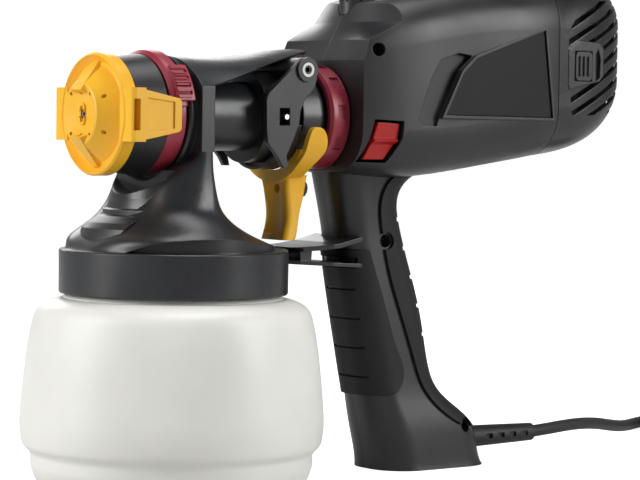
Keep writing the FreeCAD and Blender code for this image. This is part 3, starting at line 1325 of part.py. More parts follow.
def plug_body():
    sections = []
    for x, half_y, half_z in ((0.0, 6.0, 5.0), (10.0, 8.0, 6.5), (20.0, 11.5, 8.0), (31.0, 12.0, 8.5)):
        centre = vec(PLUG_X0 + x, PLUG_Y, PLUG_Z)
        sections.append(rounded_wire(centre, vec(0, 1, 0), vec(0, 0, 1), half_y, half_z, 4.5))
    body = loft(sections)
    return body.cut(compound(blade_blocks(PIN_FIT)))


def blade_blocks(grow=0.0):
    blades = []
    for side in (-1, 1):
        y = PLUG_Y + side * 6.35
        blades.append(block(PLUG_X0 + 24.0 - grow, PLUG_X0 + 47.0, y - 0.75 - grow, y + 0.75 + grow,
                            PLUG_Z - 3.2 - grow, PLUG_Z + 3.2 + grow))
    return blades


def plug_blades():
    return compound(blade_blocks())


# Write every node

def main():
    left, right = housing_halves()
    save("housing_left", largest(left))
    save("housing_right", largest(right))
    save("cup", cup())
    save("lid_gasket", lid_gasket())
    save("front_body", largest(front_body()))
    save("pickup_tube", pickup_tube())
    save("fluid_nozzle", fluid_nozzle())
    save("nozzle_union", nozzle_union())
    save("air_cap", air_cap())
    save("width_ring", width_ring())
    save("needle", needle())
    save("cross_pin", cross_pin())
    save("needle_packing", needle_packing())
    save("packing_nut", packing_nut())
    save("needle_spring", needle_spring())
    save("trigger_yoke", trigger_yoke())
    save("trigger_grip", trigger_grip())
    save("flow_knob", flow_knob())
    save("pivot_pin", pivot_pin())
    save("pivot_bushes", pivot_bushes())
    save("lock_ring", lock_ring())
    save("air_dial", air_dial())
    save("filter_cover", filter_cover())
    save("latch_left", latch(-1))
    save("latch_right", latch(1))
    save("filter_foam", filter_foam())
    save("motor_can", motor_can())
    save("rotor", rotor())
    save("bearings", bearings())
    save("impeller_front", impeller(176.5))
    save("impeller_rear", impeller(191.5))
    save("turbine_shroud", turbine_shroud())
    save("shroud_gasket", shroud_gasket())
    save("air_duct", air_duct())
    save("power_rocker", power_rocker())
    save("switch_body", switch_body())
    save("control_board", control_board())
    save("panel_left", side_panel(-1))
    save("panel_right", side_panel(1))
    save("grip_pad_front", grip_pad(PAD_FRONT_EDGE, PAD_FRONT_BEYOND))
    save("grip_pad_rear", grip_pad(PAD_REAR_EDGE, PAD_REAR_BEYOND))
    save("finger_guard", finger_guard())
    save("housing_screws", housing_screws())
    save("strain_relief", strain_relief())
    save("cord", cord())
    save("cord_coil", cord_coil())
    save("plug_body", plug_body())
    save("plug_blades", plug_blades())


main()
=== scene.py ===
import json
import math

import bmesh
import bpy
from mathutils import Matrix, Vector


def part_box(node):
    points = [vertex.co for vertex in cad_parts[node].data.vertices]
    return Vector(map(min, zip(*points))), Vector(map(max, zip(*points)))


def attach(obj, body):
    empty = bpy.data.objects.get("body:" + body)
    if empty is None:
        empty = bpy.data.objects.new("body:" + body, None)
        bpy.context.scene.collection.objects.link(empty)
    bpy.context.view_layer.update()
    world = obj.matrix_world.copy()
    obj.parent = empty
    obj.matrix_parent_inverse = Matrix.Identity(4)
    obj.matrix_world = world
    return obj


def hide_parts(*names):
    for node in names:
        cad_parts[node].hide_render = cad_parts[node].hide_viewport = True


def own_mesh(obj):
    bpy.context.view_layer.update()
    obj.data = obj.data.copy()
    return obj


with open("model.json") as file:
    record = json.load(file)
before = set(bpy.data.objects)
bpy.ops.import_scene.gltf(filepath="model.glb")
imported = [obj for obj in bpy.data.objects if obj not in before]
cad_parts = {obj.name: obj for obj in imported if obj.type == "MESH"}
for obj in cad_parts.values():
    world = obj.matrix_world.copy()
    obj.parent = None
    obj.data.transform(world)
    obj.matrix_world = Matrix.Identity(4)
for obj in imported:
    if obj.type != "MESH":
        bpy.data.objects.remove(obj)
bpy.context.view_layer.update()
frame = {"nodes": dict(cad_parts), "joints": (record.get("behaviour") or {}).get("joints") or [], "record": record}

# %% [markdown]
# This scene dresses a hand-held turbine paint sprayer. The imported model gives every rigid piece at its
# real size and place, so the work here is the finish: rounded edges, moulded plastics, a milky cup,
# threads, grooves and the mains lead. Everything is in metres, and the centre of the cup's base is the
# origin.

NODES = frame["nodes"]
JOINTS = {joint["name"]: joint for joint in frame["joints"]}
AXIS_Z = JOINTS["lock_turn"]["pos_m"][2]         # height of the spray axis
MM = 0.001

# %% [markdown]
# The camera stands where the photographer's did. It could be turned by eye until the outlines agree, but
# its place and angles were solved from the cup's outline and the ellipses of the lid, so a long lens from
# 1.3 m away keeps the right slight perspective. Two turned axes and a small roll make the view, and no
# shift is needed.

# %% Camera
CAMERA_AT = Vector((-0.7027, -1.0703, 0.1814))
CAMERA_TURN = math.radians(-36.5)
CAMERA_TILT = math.radians(2.65)
CAMERA_ROLL = math.radians(0.85)
LENS_MM = 146.25
SENSOR_MM = 36.0
SIGHT = 50.0             # how far the camera sees, past the studio's far wall


def link(name, data):
    """A new object in the scene."""
    made = bpy.data.objects.new(name, data)
    bpy.context.scene.collection.objects.link(made)
    return made


def camera_axes():
    """The camera's right, up and forward directions."""
    right = Vector((math.cos(CAMERA_TURN), math.sin(CAMERA_TURN), 0))
    level = Vector((-math.sin(CAMERA_TURN), math.cos(CAMERA_TURN), 0))
    forward = level * math.cos(CAMERA_TILT) - Vector((0, 0, 1)) * math.sin(CAMERA_TILT)
    up = right.cross(forward)
    rolled_right = right * math.cos(CAMERA_ROLL) + up * math.sin(CAMERA_ROLL)
    rolled_up = up * math.cos(CAMERA_ROLL) - right * math.sin(CAMERA_ROLL)
    return rolled_right, rolled_up, forward


lens = bpy.data.cameras.new("camera")
lens.lens = LENS_MM
lens.sensor_width = SENSOR_MM
lens.clip_end = SIGHT
camera = link("camera", lens)
view_right, view_up, view_forward = camera_axes()
turned = Matrix((view_right, view_up, -view_forward)).transposed().to_4x4()
camera.matrix_world = Matrix.Translation(CAMERA_AT) @ turned
bpy.context.scene.camera = camera
print("camera", round(CAMERA_AT.length, 2), "m from the middle of the cup's base")

# %% [markdown]
# Shader maths could be wired node by node, but a product then takes four lines that hide the idea. Here a
# Signal wraps one output socket, and multiplying it by a number or by another Signal puts the Math node in
# the material, so the line reads as a plain expression. A ramp spreads a part of a signal over another
# range.

# %% Shader expressions


class Signal:
    """An output socket that can be used in arithmetic."""

    def __init__(self, graph, socket):
        self.graph = graph
        self.socket = socket

    def maths(self, operation, *others):
        return self.graph.add("ShaderNodeMath", {"operation": operation}, dict(enumerate((self, *others))))

    def __mul__(self, other):
        return self.maths("MULTIPLY", other)

    __rmul__ = __mul__

    def ramp(self, low, high, from_value=0.0, to_value=1.0):
        """from_value below low, to_value above high, and a straight change between them."""
        return self.graph.add("ShaderNodeMapRange", {"clamp": True},
                              {0: self, 1: low, 2: high, 3: from_value, 4: to_value})


# %% [markdown]
# A finish is the Principled shader with a few textures in front of it. A Graph holds such a material: one
# of its methods adds any node, and the others name the steps that most finishes share. The textures read
# Object coordinates, because a moulded grain follows no seam, and such a pattern still moves with its
# piece.

# %% Material graph


class Graph:
    """One material and the nodes in it."""

    def __init__(self, name):
        self.material = bpy.data.materials.new(name)
        self.material.use_nodes = True
        self.tree = self.material.node_tree
        self.shader = self.tree.nodes["Principled BSDF"]
        self.place = self.add("ShaderNodeTexCoord", out="Object")

    def add(self, kind, settings=None, values=None, out=0):
        """A node of that kind: settings first, then its sockets' values or links."""
        node = self.tree.nodes.new(kind)
        for key, value in (settings or {}).items():
            setattr(node, key, value)
        for key, value in (values or {}).items():
            self.feed(node.inputs[key], value)
        return Signal(self, node.outputs[out])

    def feed(self, socket, value):
        """A link from a Signal, or a plain value."""
        if isinstance(value, Signal):
            self.tree.links.new(value.socket, socket)
        elif socket.type == "RGBA" and len(value) == 3:
            socket.default_value = (*value, 1)
        else:
            socket.default_value = value

    def noise(self, size, detail, stretch=None):
        """Soft noise whose lumps are about size metres across."""
        where = self.place
        if stretch:
            where = self.add("ShaderNodeMapping", None, {"Vector": where, "Scale": stretch})
        return self.add("ShaderNodeTexNoise", None,
                        {"Vector": where, "Scale": 1.0 / size, "Detail": detail})

    def blend(self, factor, first, second):
        """first where factor is 0, second where it is 1."""
        return self.add("ShaderNodeMix", {"data_type": "RGBA"}, {0: factor, 6: first, 7: second}, out=2)

    def set(self, **values):
        """Values or links of the shader's own sockets, named with underscores for spaces."""
        for key, value in values.items():
            self.feed(self.shader.inputs[key.replace("_", " ")], value)
        return self.material

    def bump(self, height, depth, over=None):
        """A bump that is depth metres deep, over another normal where there is one."""
        values = {"Height": height, "Distance": depth}
        if over is not None:
            values["Normal"] = over
        return self.add("ShaderNodeBump", None, values)

    def soft_edge(self, radius):
        """A normal that rounds every edge by that radius, as a moulding tool does."""
        return self.add("ShaderNodeBevel", {"samples": 6}, {"Radius": radius})

    def background_rays(self, mirrored):
        """1 for a ray from the camera or through glass, and mirrored for one that gloss has sent on."""
        kinds = self.add("ShaderNodeLightPath").socket.node.outputs
        camera, glossy, through = (Signal(self, kinds[kind])
                                   for kind in ("Is Camera Ray", "Is Glossy Ray", "Is Transmission Ray"))
        return camera.maths("MAXIMUM", glossy * mirrored).maths("MAXIMUM", through)


# %% [markdown]
# The tool is shown on plain white. A floor with one wall behind it would do for one view, but a reusable
# part is looked at from every side, so the studio is a round white bowl. Its floor curves up into the wall
# all round, so no horizon crosses any view. The bowl also glows for the camera and, weaker, for glossy
# rays, which lifts it to white while the shadow under the tool stays.

# %% Studio bowl
BOWL_R = 4.2
BOWL_BEND = 1.6          # radius of the curve between floor and wall
BOWL_H = 4.4
BOWL_SIDES = 96
BEND_STEPS = 12
FIRST_RING_R = 0.6       # the ring next to the floor's middle point
BOWL_GLOW = 0.91         # plain white added to what the camera sees
MIRRORED_GLOW = 0.22     # the share of it that gloss shows


def bowl_profile():
    """Radius and height along the bowl, from the floor's middle to the wall's rim."""
    profile = [(FIRST_RING_R, 0.0), (BOWL_R - BOWL_BEND, 0.0)]
    for step in range(1, BEND_STEPS + 1):
        turn = math.radians(90 * step / BEND_STEPS)
        profile.append((BOWL_R - BOWL_BEND * (1 - math.sin(turn)), BOWL_BEND * (1 - math.cos(turn))))
    return profile + [(BOWL_R, BOWL_H)]


def smooth(mesh):
    """Round shading on every face."""
    mesh.polygons.foreach_set("use_smooth", [True] * len(mesh.polygons))


def bowl_mesh():
    """The floor and the wall in one sheet, turned about the upright axis."""
    form = bmesh.new()
    middle = form.verts.new((0, 0, 0))
    turns = [math.radians(360 * side / BOWL_SIDES) for side in range(BOWL_SIDES)]
    rings = []
    for radius, height in bowl_profile():
        rings.append([form.verts.new((radius * math.cos(t), radius * math.sin(t), height)) for t in turns])
    for side in range(BOWL_SIDES):
        after = (side + 1) % BOWL_SIDES
        form.faces.new((middle, rings[0][side], rings[0][after]))
        for inner, outer in zip(rings, rings[1:]):
            form.faces.new((inner[side], outer[side], outer[after], inner[after]))
    mesh = bpy.data.meshes.new("bowl")
    form.to_mesh(mesh)
    form.free()
    smooth(mesh)
    return mesh


def bowl_material():
    """A pale matt floor with a glow of plain white for the camera."""
    graph = Graph("studio_white")
    glow = graph.blend(graph.background_rays(MIRRORED_GLOW), (0, 0, 0), (1, 1, 1))
    return graph.set(Base_Color=(0.55, 0.55, 0.55), Roughness=0.9, Specular_IOR_Level=0.1,
                     Emission_Color=glow, Emission_Strength=BOWL_GLOW)


floor = link("floor", bowl_mesh())
floor.data.materials.append(bowl_material())
print("studio bowl of", len(floor.data.polygons), "faces")

# %% [markdown]
# Dark plastic shows its form only by what it reflects. Small lamps would leave hard specks on it, so four
# large soft ones light the tool: at the left, at the right, overhead and, weaker, behind. None stands by
# the camera, so faces that look at the camera stay darker than those at the sides. The Standard view shows
# each colour about as it is written.

# %% Lamps
LAMP_AIM = Vector((0.10, 0.0, 0.13))
LAMPS = {
    # place, width and height, watts
    "left_lamp": ((-1.7, 0.5, 0.9), (0.8, 1.4), 30),
    "right_lamp": ((1.15, -1.6, 0.95), (0.7, 1.4), 26),
    "top_lamp": ((0.2, -0.1, 1.9), (1.4, 1.0), 18),
    "back_lamp": ((0.6, 1.6, 0.9), (1.0, 0.8), 8),
}
for name, (place, size, watts) in LAMPS.items():
    light = bpy.data.lights.new(name, "AREA")
    light.shape = "RECTANGLE"
    light.size, light.size_y = size
    light.energy = watts
    lamp = link(name, light)
    lamp.location = place
    lamp.rotation_euler = (LAMP_AIM - lamp.location).to_track_quat("-Z", "Y").to_euler()
bpy.context.scene.view_settings.view_transform = "Standard"
print(len(LAMPS), "lamps,", sum(watts for _, _, watts in LAMPS.values()), "W in all")

# %% [markdown]
# The shells, knobs and pads are moulded, and they differ mostly in colour, grain and gloss. A picture of
# each could be wrapped round them, but a pattern worked out in space has no seams and stays sharp close
# by. One recipe makes them all: a fine spark-eroded grain in the bump, a slow change of roughness where
# hands polish it, a trace of dust in the colour, and edges as round as a mould leaves them.

# %% Moulded plastics
NOISE_LOW, NOISE_HIGH = 0.3, 0.7       # most of a noise texture lies between these
CLOUD_SIZE = 0.03                      # across a patch that hands have polished
DUST_LIFT = 0.004                      # what dust adds even to black
BLACK = (0.0155, 0.016, 0.0175)


def plastic(name, colour, rough, grain=0.00035, depth=0.00002, cloud=0.06, dust=0.12, edge=0.0006,
            shine=0.5):
    """A moulded plastic. Grain, depth and edge are in metres, and cloud is how far its roughness strays."""
    graph = Graph(name)
    slow = graph.noise(CLOUD_SIZE, detail=3.0)
    fine = graph.noise(grain, detail=1.0)
    pale = tuple(min(1.0, channel * (1 + dust) + DUST_LIFT) for channel in colour)
    deep = tuple(channel * (1 - dust) for channel in colour)
    return graph.set(Base_Color=graph.blend(slow.ramp(NOISE_LOW, NOISE_HIGH), deep, pale),
                     Roughness=slow.ramp(NOISE_LOW, NOISE_HIGH, rough - cloud, rough + cloud),
                     Normal=graph.bump(fine, depth, over=graph.soft_edge(edge)), Specular_IOR_Level=shine)


PLASTICS = {
    "black_plastic": dict(colour=BLACK, rough=0.38, depth=0.00003),
    "head_plastic": dict(colour=(0.019, 0.020, 0.0225), rough=0.31, depth=0.000012),
    "yellow_plastic": dict(colour=(1.0, 0.52, 0.03), rough=0.33, depth=0.000012, dust=0.05, shine=0.35),
    "burgundy_plastic": dict(colour=(0.33, 0.028, 0.052), rough=0.36, depth=0.000012, dust=0.08),
    "red_plastic": dict(colour=(0.43, 0.010, 0.008), rough=0.28, depth=0.000006, dust=0.05, shine=0.35),
    "grip_rubber": dict(colour=(0.0075, 0.0076, 0.0082), rough=0.62, grain=0.0005, depth=0.00005,
                        shine=0.35),
    "white_plastic": dict(colour=(0.75, 0.75, 0.72), rough=0.35, depth=0.000006, dust=0.03),
    "cord_rubber": dict(colour=(0.012, 0.012, 0.013), rough=0.55, grain=0.0003),
    "cup_plastic": dict(colour=(0.87, 0.865, 0.815), rough=0.4, grain=0.0008, dust=0.02),
    "motor_paint": dict(colour=(0.10, 0.105, 0.11), rough=0.4),
    "board_green": dict(colour=(0.012, 0.09, 0.035), rough=0.4),
    "seal_rubber": dict(colour=(0.03, 0.03, 0.03), rough=0.6),
    "foam": dict(colour=(0.02, 0.02, 0.022), rough=0.9, grain=0.0012, depth=0.0005),
    "panel_black": dict(colour=(0.0085, 0.0072, 0.0072), rough=0.45, depth=0.000004, cloud=0.02, shine=0.2),
    "grille_black": dict(colour=BLACK, rough=0.28, depth=0.000012, edge=0.0010),
}
FINISHES = {name: plastic(name, **look) for name, look in PLASTICS.items()}
print(len(FINISHES), "plastics")

# %% [markdown]
# The needle and its spring, the pins, the screws and the plug's blades are turned, drawn or stamped metal.
# Their fine marks are far too many to model, so one noise, stretched along X, gives both a faint bump and
# a change of gloss. The blackened screws are the same metal with a dark colour, which the hinge's pin also
# wears as painted shade for the dark bore of its bush.

# %% Metals
MARK_SIZE = 0.0004                     # across one mark
MARK_DEPTH = 0.000008
MARK_STRETCH = (0.05, 1.0, 1.0)        # a scale under 1 makes the marks long in X
GLOSS_SPREAD = 0.08


def metal(name, colour, rough):
    """A metal with fine marks along X."""
    graph = Graph(name)
    marks = graph.noise(MARK_SIZE, detail=2.0, stretch=MARK_STRETCH)
    gloss = marks.ramp(NOISE_LOW, NOISE_HIGH, rough - GLOSS_SPREAD, rough + GLOSS_SPREAD)
    return graph.set(Base_Color=colour, Metallic=1.0, Roughness=gloss, Normal=graph.bump(marks, MARK_DEPTH))


METALS = {
    # colour, roughness
    "steel": ((0.62, 0.62, 0.60), 0.28),
    "aluminium": ((0.70, 0.71, 0.72), 0.32),
    "brass": ((0.78, 0.60, 0.28), 0.26),
    "screw_black_and_bore_shade": ((0.05, 0.05, 0.052), 0.4),
}
for name, (colour, rough) in METALS.items():
    FINISHES[name] = metal(name, colour, rough)
print(len(METALS), "metals")

# %% [markdown]
# The trigger hangs in white bushes, each held by a black snap ring. The ring could be a piece of its own,
# but it lies flush with the bush, so a change of colour at one distance from the hinge's axis is enough.
# That distance needs only X and Z, because the axis runs along Y.

# %% Hinge bushes
PIVOT_AT = JOINTS["trigger_pull"]["pos_m"]
SNAP_RING_R = 0.0035     # where the ring begins
RING_BLUR = 0.0001       # width of the change from white to black
BUSH_COLOUR = (0.78, 0.78, 0.75)
RING_COLOUR = (0.012, 0.012, 0.013)


def bush_white(name):
    """White out to the snap ring, and black from there on."""
    graph = Graph(name)
    apart = graph.add("ShaderNodeVectorMath", {"operation": "SUBTRACT"}, {0: graph.place, 1: PIVOT_AT})
    across = graph.add("ShaderNodeVectorMath", {"operation": "MULTIPLY"}, {0: apart, 1: (1, 0, 1)})
    radius = graph.add("ShaderNodeVectorMath", {"operation": "LENGTH"}, {0: across}, out="Value")
    ringed = radius.ramp(SNAP_RING_R, SNAP_RING_R + RING_BLUR)
    return graph.set(Base_Color=graph.blend(ringed, BUSH_COLOUR, RING_COLOUR), Roughness=0.4)


FINISHES["bush_white"] = bush_white("bush_white")
print("bush white out to", SNAP_RING_R / MM, "mm from the hinge's axis")

# %% [markdown]
# Each imported piece names a slot, and the slot names a finish. A few pieces look unlike the rest of their
# slot: the screws are blackened, the hinge's pin is given the same dark colour as painted shade for the dark
# bore of its bush, the side panels are smoother, and the cover's slats glossier and rounder. A new slot for
# each would mean a changed model.json, so those few are looked up by their own names first, and the record's
# slots stay as they are.

# %% Finishes of the imported pieces
SLOT_OF = {part["node"]: part["material_slot"] for part in frame["record"]["subparts"]}
# The hinge's pin takes the screws' dark metal as painted shade, so the bush's bore looks dark.
OWN_FINISH = {"housing_screws": "screw_black_and_bore_shade", "pivot_pin": "screw_black_and_bore_shade", "panel_left": "panel_black",
              "panel_right": "panel_black", "filter_cover": "grille_black", "pivot_bushes": "bush_white"}
for node, piece in NODES.items():
    piece.data.materials.clear()
    piece.data.materials.append(FINISHES[OWN_FINISH.get(node, SLOT_OF[node])])
print("finished", len(NODES), "packed pieces")

# %% [markdown]
# Grooves, ribs and threads repeat by a rule. Loops over bmesh could place them too, but a Geometry Nodes
# tree keeps its sizes as named inputs, so one tree serves several pieces. A Recipe holds one tree: it
# names those sizes, adds nodes, and always ends in real meshes with a material. Its make method gives the
# sizes to a modifier, keeps the result as a plain mesh and throws the modifier away.

# %% Recipes
CREASE = math.radians(32)              # a sharper edge than this keeps its crease


def settled(name, holder):
    """A plain mesh object of what the holder's modifier makes. The holder goes."""
    ready = holder.evaluated_get(bpy.context.evaluated_depsgraph_get())
    made = link(name, bpy.data.meshes.new_from_object(ready))
    bpy.data.objects.remove(holder)
    return made


class Recipe:
    """A Geometry Nodes tree, and the sizes that it asks for."""

    def __init__(self, name, **sizes):
        self.tree = bpy.data.node_groups.new(name, "GeometryNodeTree")
        for label, kind in {"Piece": "Geometry", **sizes, "Finish": "Material"}.items():
            self.tree.interface.new_socket(label, in_out="INPUT", socket_type="NodeSocket" + kind)
        self.tree.interface.new_socket("Made", in_out="OUTPUT", socket_type="NodeSocketGeometry")
        self.given = self.tree.nodes.new("NodeGroupInput").outputs
        self.made = self.tree.nodes.new("NodeGroupOutput").inputs[0]

    def add(self, kind, settings=None, values=None):
        """A node of that kind: settings first, then its sockets' values or links."""
        node = self.tree.nodes.new(kind)
        for key, value in (settings or {}).items():
            setattr(node, key, value)
        for key, value in (values or {}).items():
            if isinstance(value, bpy.types.NodeSocket):
                self.tree.links.new(value, node.inputs[key])
            else:
                node.inputs[key].default_value = value
        return node.outputs[0]

    def end(self, geometry):
        """Real meshes instead of instances, in the given finish."""
        real = self.add("GeometryNodeRealizeInstances", None, {0: geometry})
        dressed = self.add("GeometryNodeSetMaterial", None, {0: real, "Material": self.given["Finish"]})
        self.tree.links.new(dressed, self.made)

    def make(self, name, finish, piece=None, **sizes):
        """A plain mesh object that the tree makes from these sizes."""
        holder = link(name + "_recipe", piece or bpy.data.meshes.new(name + "_recipe"))
        modifier = holder.modifiers.new("recipe", "NODES")
        modifier.node_group = self.tree
        for item in self.tree.interface.items_tree:
            if item.in_out == "INPUT" and item.name != "Piece":
                modifier[item.identifier] = {**sizes, "Finish": finish}[item.name]
        made = settled(name, holder)
        smooth(made.data)
        made.data.set_sharp_from_angle(angle=CREASE)
        print(name, len(made.data.polygons), "faces")
        return made


# %% [markdown]
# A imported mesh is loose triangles, each with corners of its own, so neither a boolean nor smooth shading
# can tell that they are one body. Its mesh must stay as it is, and so a piece that is to be changed is
# copied, and the copy's corners are joined.

# %% Joined copies
JOIN_WITHIN = 1e-6       # corners nearer than this are one


def joined(node):
    """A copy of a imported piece's mesh with its loose corners joined."""
    form = bmesh.new()
    form.from_mesh(NODES[node].data)
    bmesh.ops.remove_doubles(form, verts=form.verts, dist=JOIN_WITHIN)
    form.verts.index_update()
    places = [v.co.copy() for v in form.verts]
    faces = [[v.index for v in face.verts] for face in form.faces]
    form.free()
    mesh = bpy.data.meshes.new(node + "_joined")
    mesh.from_pydata(places, [], faces)
    print(node, "joined to", len(places), "corners")
    return mesh


# %% [markdown]
# Both soft pads of the handle have finger grooves across them. A bump could fake them, but they also notch
# the outline, so they are cut: a row of thin bars is taken away from a joined copy of each pad. The bars
# stand in a line that follows the handle's slope, so one start, one step and a count place them all.

# %% Finger grooves in the pads
grooves = Recipe("finger_grooves", Count="Int", First="Vector", Step="Vector", Bar="Vector")
bar_places = grooves.add("GeometryNodeMeshLine", {"mode": "OFFSET"},
                         {"Count": grooves.given["Count"], "Start Location": grooves.given["First"],
                          "Offset": grooves.given["Step"]})
bar = grooves.add("GeometryNodeMeshCube", None, {"Size": grooves.given["Bar"]})
bars = grooves.add("GeometryNodeInstanceOnPoints", None, {"Points": bar_places, "Instance": bar})
bars = grooves.add("GeometryNodeRealizeInstances", None, {0: bars})
grooves.end(grooves.add("GeometryNodeMeshBoolean", {"operation": "DIFFERENCE"},
                        {"Mesh 1": grooves.given["Piece"], "Mesh 2": bars}))
PAD_GROOVES = {
    # count, first groove, step to the next, bar's size
    "grip_pad_front": (4, (0.0988, 0, 0.0949), (0.00322, 0, -0.0152), (0.0075, 0.060, 0.0012)),
    "grip_pad_rear": (5, (0.1316, 0, 0.1304), (0.00428, 0, -0.01503), (0.009, 0.060, 0.0024)),
}
for node, (count, first, step, size) in PAD_GROOVES.items():
    pad = grooves.make(node + "_grooved", FINISHES["grip_rubber"], joined(node),
                       Count=count, First=first, Step=step, Bar=size)
    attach(pad, "housing")
    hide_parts(node)

# %% [markdown]
# The thumb tab of the fan-width ring is ribbed for grip. An Array modifier is quickest for a straight row,
# but these ribs stand on an arc about the spray axis. So the tree puts bars on an arc's points, turns each
# outwards, and tips the whole arc upright at the end.

# %% Ribs of the width ring's tab
ring_low, ring_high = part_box("width_ring")
TAB_X = (ring_low.x + ring_high.x) / 2
TAB_RIBS = 6
RIB_R = 0.0338                         # from the spray axis to a rib's middle
RIB_FIRST = math.radians(15)
RIB_SWEEP = math.radians(27)           # from the first rib to the last
RIB_SIZE = (0.0012, 0.0009, 0.0072)    # outwards, round the axis and along it
UPRIGHT = Matrix(((0, 0, -1), (-1, 0, 0), (0, 1, 0))).to_euler()     # the arc's X turns to -Y, its Y to Z
ribs = Recipe("ribs_on_an_arc", Count="Int", Radius="Float", First="Float", Sweep="Float", Rib="Vector",
              Middle="Vector")
arc = ribs.add("GeometryNodeCurveArc", {"mode": "RADIUS"},
               {"Resolution": 64, "Radius": ribs.given["Radius"], "Start Angle": ribs.given["First"],
                "Sweep Angle": ribs.given["Sweep"]})
rib_places = ribs.add("GeometryNodeCurveToPoints", {"mode": "COUNT"},
                      {"Curve": arc, "Count": ribs.given["Count"]})
outwards = ribs.add("FunctionNodeAlignRotationToVector", {"axis": "X"},
                    {"Vector": ribs.add("GeometryNodeInputPosition")})
rib = ribs.add("GeometryNodeMeshCube", None, {"Size": ribs.given["Rib"]})
row = ribs.add("GeometryNodeInstanceOnPoints", None,
               {"Points": rib_places, "Instance": rib, "Rotation": outwards})
ribs.end(ribs.add("GeometryNodeTransform", None,
                  {"Geometry": row, "Translation": ribs.given["Middle"], "Rotation": UPRIGHT}))
tab_ribs = ribs.make("tab_ribs", FINISHES["burgundy_plastic"], Count=TAB_RIBS, Radius=RIB_R,
                     First=RIB_FIRST, Sweep=RIB_SWEEP, Rib=RIB_SIZE, Middle=(TAB_X, 0, AXIS_Z))
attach(tab_ribs, "width_ring")

# %% [markdown]
# Behind the grille hangs a dark dust screen, so nobody looks in at one slot and out at another. A flat
# sheet would leave its edges open to the side slots, so it is a bag that follows the cover's inside and
# narrows beside the push buttons. Rounded rectangles along X, joined ring by ring, give its skin.

# %% Skin of the dust screen
SCREEN_RINGS = [
    # x, bottom, top, half-width, corner radius, in millimetres
    (218.0, 169.2, 253.0, 31.0, 14.0),
    (236.5, 172.2, 254.0, 31.0, 14.0),
    (242.0, 174.6, 253.6, 37.4, 18.0),
    (252.0, 179.4, 252.8, 36.2, 18.0),
    (260.6, 187.6, 249.8, 30.4, 15.0),
    (262.8, 192.4, 246.2, 26.4, 12.0),
]
CORNER_STEPS = 6


def rounded_ring(x, bottom, top, half, corner):
    """Points round an upright rounded rectangle at x."""
    points = []
    centres = [(half - corner, top - corner), (corner - half, top - corner),
               (corner - half, bottom + corner), (half - corner, bottom + corner)]
    for quarter, (y, z) in enumerate(centres):
        for step in range(CORNER_STEPS + 1):
            turn = math.radians(90 * (quarter + step / CORNER_STEPS))
            points.append(Vector((x, y + corner * math.cos(turn), z + corner * math.sin(turn))) * MM)
    return points


def screen_skin():
    """The bag's skin, closed at its rear end."""
    form = bmesh.new()
    rings = [[form.verts.new(point) for point in rounded_ring(*ring)] for ring in SCREEN_RINGS]
    for before, after in zip(rings, rings[1:]):
        for i in range(len(before)):
            j = (i + 1) % len(before)
            form.faces.new((before[i], before[j], after[j], after[i]))
    form.faces.new(rings[-1])
    bmesh.ops.recalc_face_normals(form, faces=form.faces)
    mesh = bpy.data.meshes.new("dust_screen")
    form.to_mesh(mesh)
    form.free()
    return mesh


skin = link("dust_screen_skin", screen_skin())
print("dust screen of", len(SCREEN_RINGS), "rings and", len(skin.data.polygons), "faces")

# %% [markdown]
# Such a screen is thin, but a skin without any wall can't be printed or weighed. Its inside could be
# modelled as a second bag, and Solidify does just that: it gives the skin a thickness inwards, and the
# result is kept as a plain mesh.

# %% Wall of the dust screen
SCREEN_T = 0.0005
wall = skin.modifiers.new("wall", "SOLIDIFY")
wall.thickness = SCREEN_T
screen = settled("dust_screen", skin)
screen.data.materials.append(FINISHES["foam"])
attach(screen, "filter_cover")
print("dust screen", len(screen.data.polygons), "faces")

# %% [markdown]
# The closing spring is pressed together when the trigger draws the needle. A new helix could be made for
# it, but the imported one has the right coils, and only rides the needle whole. So a copy that stays with
# the head takes its place.

# %% Closing spring
spring = link("closing_spring", joined("needle_spring"))
smooth(spring.data)
spring.data.materials.append(FINISHES["steel"])
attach(spring, "front_end")
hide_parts("needle_spring")
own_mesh(spring)

# %% [markdown]
# The cup screws into the head, so its neck has a thread outside and the lid has one inside. A Screw
# modifier would do, but a tree lets both threads share one recipe: a round bead swept along a spiral whose
# radius is the same at both ends. The lid's thread runs half a pitch higher, between the turns of the
# cup's.

# %% Threads of the cup and the lid
CUP_THREAD_R = 0.0514
LID_THREAD_R = 0.0540
THREAD_DROP = 0.0125     # from the cup's rim down to the foot of its thread
THREAD_FOOT_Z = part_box("cup")[1].z - THREAD_DROP
THREAD_BEAD_R = 0.0009
THREAD_PITCH = 0.0045
THREAD_TURNS = 2.0
threads = Recipe("threads", Radius="Float", Turns="Float", Rise="Float", Bead="Float", Foot="Vector")
path = threads.add("GeometryNodeCurveSpiral", None,
                   {"Resolution": 72, "Rotations": threads.given["Turns"], "Height": threads.given["Rise"],
                    "Start Radius": threads.given["Radius"], "End Radius": threads.given["Radius"]})
bead = threads.add("GeometryNodeCurvePrimitiveCircle", {"mode": "RADIUS"},
                   {"Resolution": 8, "Radius": threads.given["Bead"]})
swept = threads.add("GeometryNodeCurveToMesh", None,
                    {"Curve": path, "Profile Curve": bead, "Fill Caps": True})
threads.end(threads.add("GeometryNodeTransform", None,
                        {"Geometry": swept, "Translation": threads.given["Foot"]}))
for name, body, radius, foot, finish in (
        ("cup_thread", "cup", CUP_THREAD_R, THREAD_FOOT_Z, "cup_plastic"),
        ("lid_thread", "front_end", LID_THREAD_R, THREAD_FOOT_Z + THREAD_PITCH / 2, "head_plastic")):
    made = threads.make(name, FINISHES[finish], Radius=radius, Turns=THREAD_TURNS, Bead=THREAD_BEAD_R,
                        Rise=THREAD_PITCH * THREAD_TURNS, Foot=(0, 0, foot))
    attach(made, body)
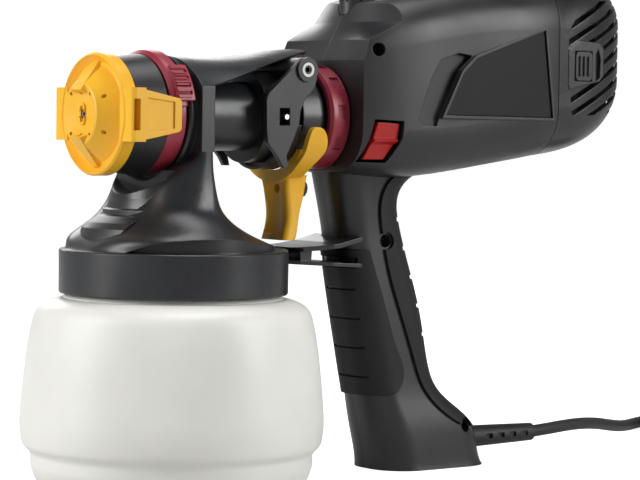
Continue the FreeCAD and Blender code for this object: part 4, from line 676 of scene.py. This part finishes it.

# %% [markdown]
# The mains lead leaves the handle's foot through a slotted boot, sags to the floor and runs in a loose
# curve out of the picture. The length that a user has put away lies in a flat coil just outside the view,
# with the plug inside it. A formula would make the run look wound by a machine, so its points are listed
# one by one, and only the coil's are worked out: each turn eases into the next one's radius and layer, as in
# a coil that lies loose.

# %% Route of the mains lead
CORD_D = 0.0066
LYING_Z = 0.0036         # the cord's middle where it lies on the floor
CORD_ROUTE = [
    (0.234, 0.0, 0.0126),
    (0.246, 0.001, 0.0131),
    (0.262, 0.004, 0.0138),
    (0.28, 0.009, 0.0136),
    (0.298, 0.016, 0.0118),
    (0.316, 0.025, 0.0088),
    (0.334, 0.036, 0.006),
    (0.352, 0.048, 0.0042),
    (0.37, 0.059, LYING_Z),
    (0.388, 0.066, LYING_Z),
]
coil_low, coil_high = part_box("cord_coil")
COIL_AT = (coil_low + coil_high) / 2
COIL_MID_R = 0.039
COIL_FAR_SIDE = math.radians(90)
TURN_POINTS = 14
COIL_POINTS = 95         # a little under seven turns
# The turns, as (radius offset, height), both in cord diameters
COIL_TURNS = [(-0.3, 0), (-1.0, 0.35), (1.0, 0.9), (0.1, 1.05), (-0.8, 1.1), (0.7, 1.75), (-0.4, 1.95)]


def coil_points():
    """The coil's turns, clockwise from its far side, each a little off the one before."""
    points = []
    for point in range(COIL_POINTS):
        turns = point / TURN_POINTS
        now = int(turns)
        after = min(now + 1, len(COIL_TURNS) - 1)
        share = turns - now
        share = share * share * (3 - 2 * share)     # the change starts and ends gently
        offset, layer = (a * (1 - share) + b * share for a, b in zip(COIL_TURNS[now], COIL_TURNS[after]))
        radius = COIL_MID_R + CORD_D * offset
        angle = COIL_FAR_SIDE - math.tau * turns
        points.append((COIL_AT.x + radius * math.cos(angle), COIL_AT.y + radius * math.sin(angle),
                       LYING_Z + layer * CORD_D))
    return points


lead_points = CORD_ROUTE + coil_points()
print("mains lead of", len(CORD_ROUTE), "placed points and", COIL_POINTS, "worked-out ones")

# %% [markdown]
# A rubber lead bends evenly and has no corners. A simulated chain of links could find that line, but a
# NURBS curve of the same few points already bends so, and its bevel gives the round section. The plug, its
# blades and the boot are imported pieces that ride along.

# %% Mains lead


def nurbs_line(name, points, radius):
    """A round NURBS tube whose control points are the given ones."""
    curve = bpy.data.curves.new(name, "CURVE")
    curve.dimensions = "3D"
    curve.bevel_depth = radius
    curve.bevel_resolution = 6
    curve.resolution_u = 8
    curve.use_fill_caps = True
    line = curve.splines.new("NURBS")
    line.points.add(len(points) - 1)
    for point, place in zip(line.points, points):
        point.co = (*place, 1)
    line.order_u = 3
    line.use_endpoint_u = True
    return link(name, curve)


mains_lead = nurbs_line("mains_lead", lead_points, CORD_D / 2)
mains_lead.data.materials.append(FINISHES["cord_rubber"])
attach(mains_lead, "housing")
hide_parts("cord", "cord_coil")
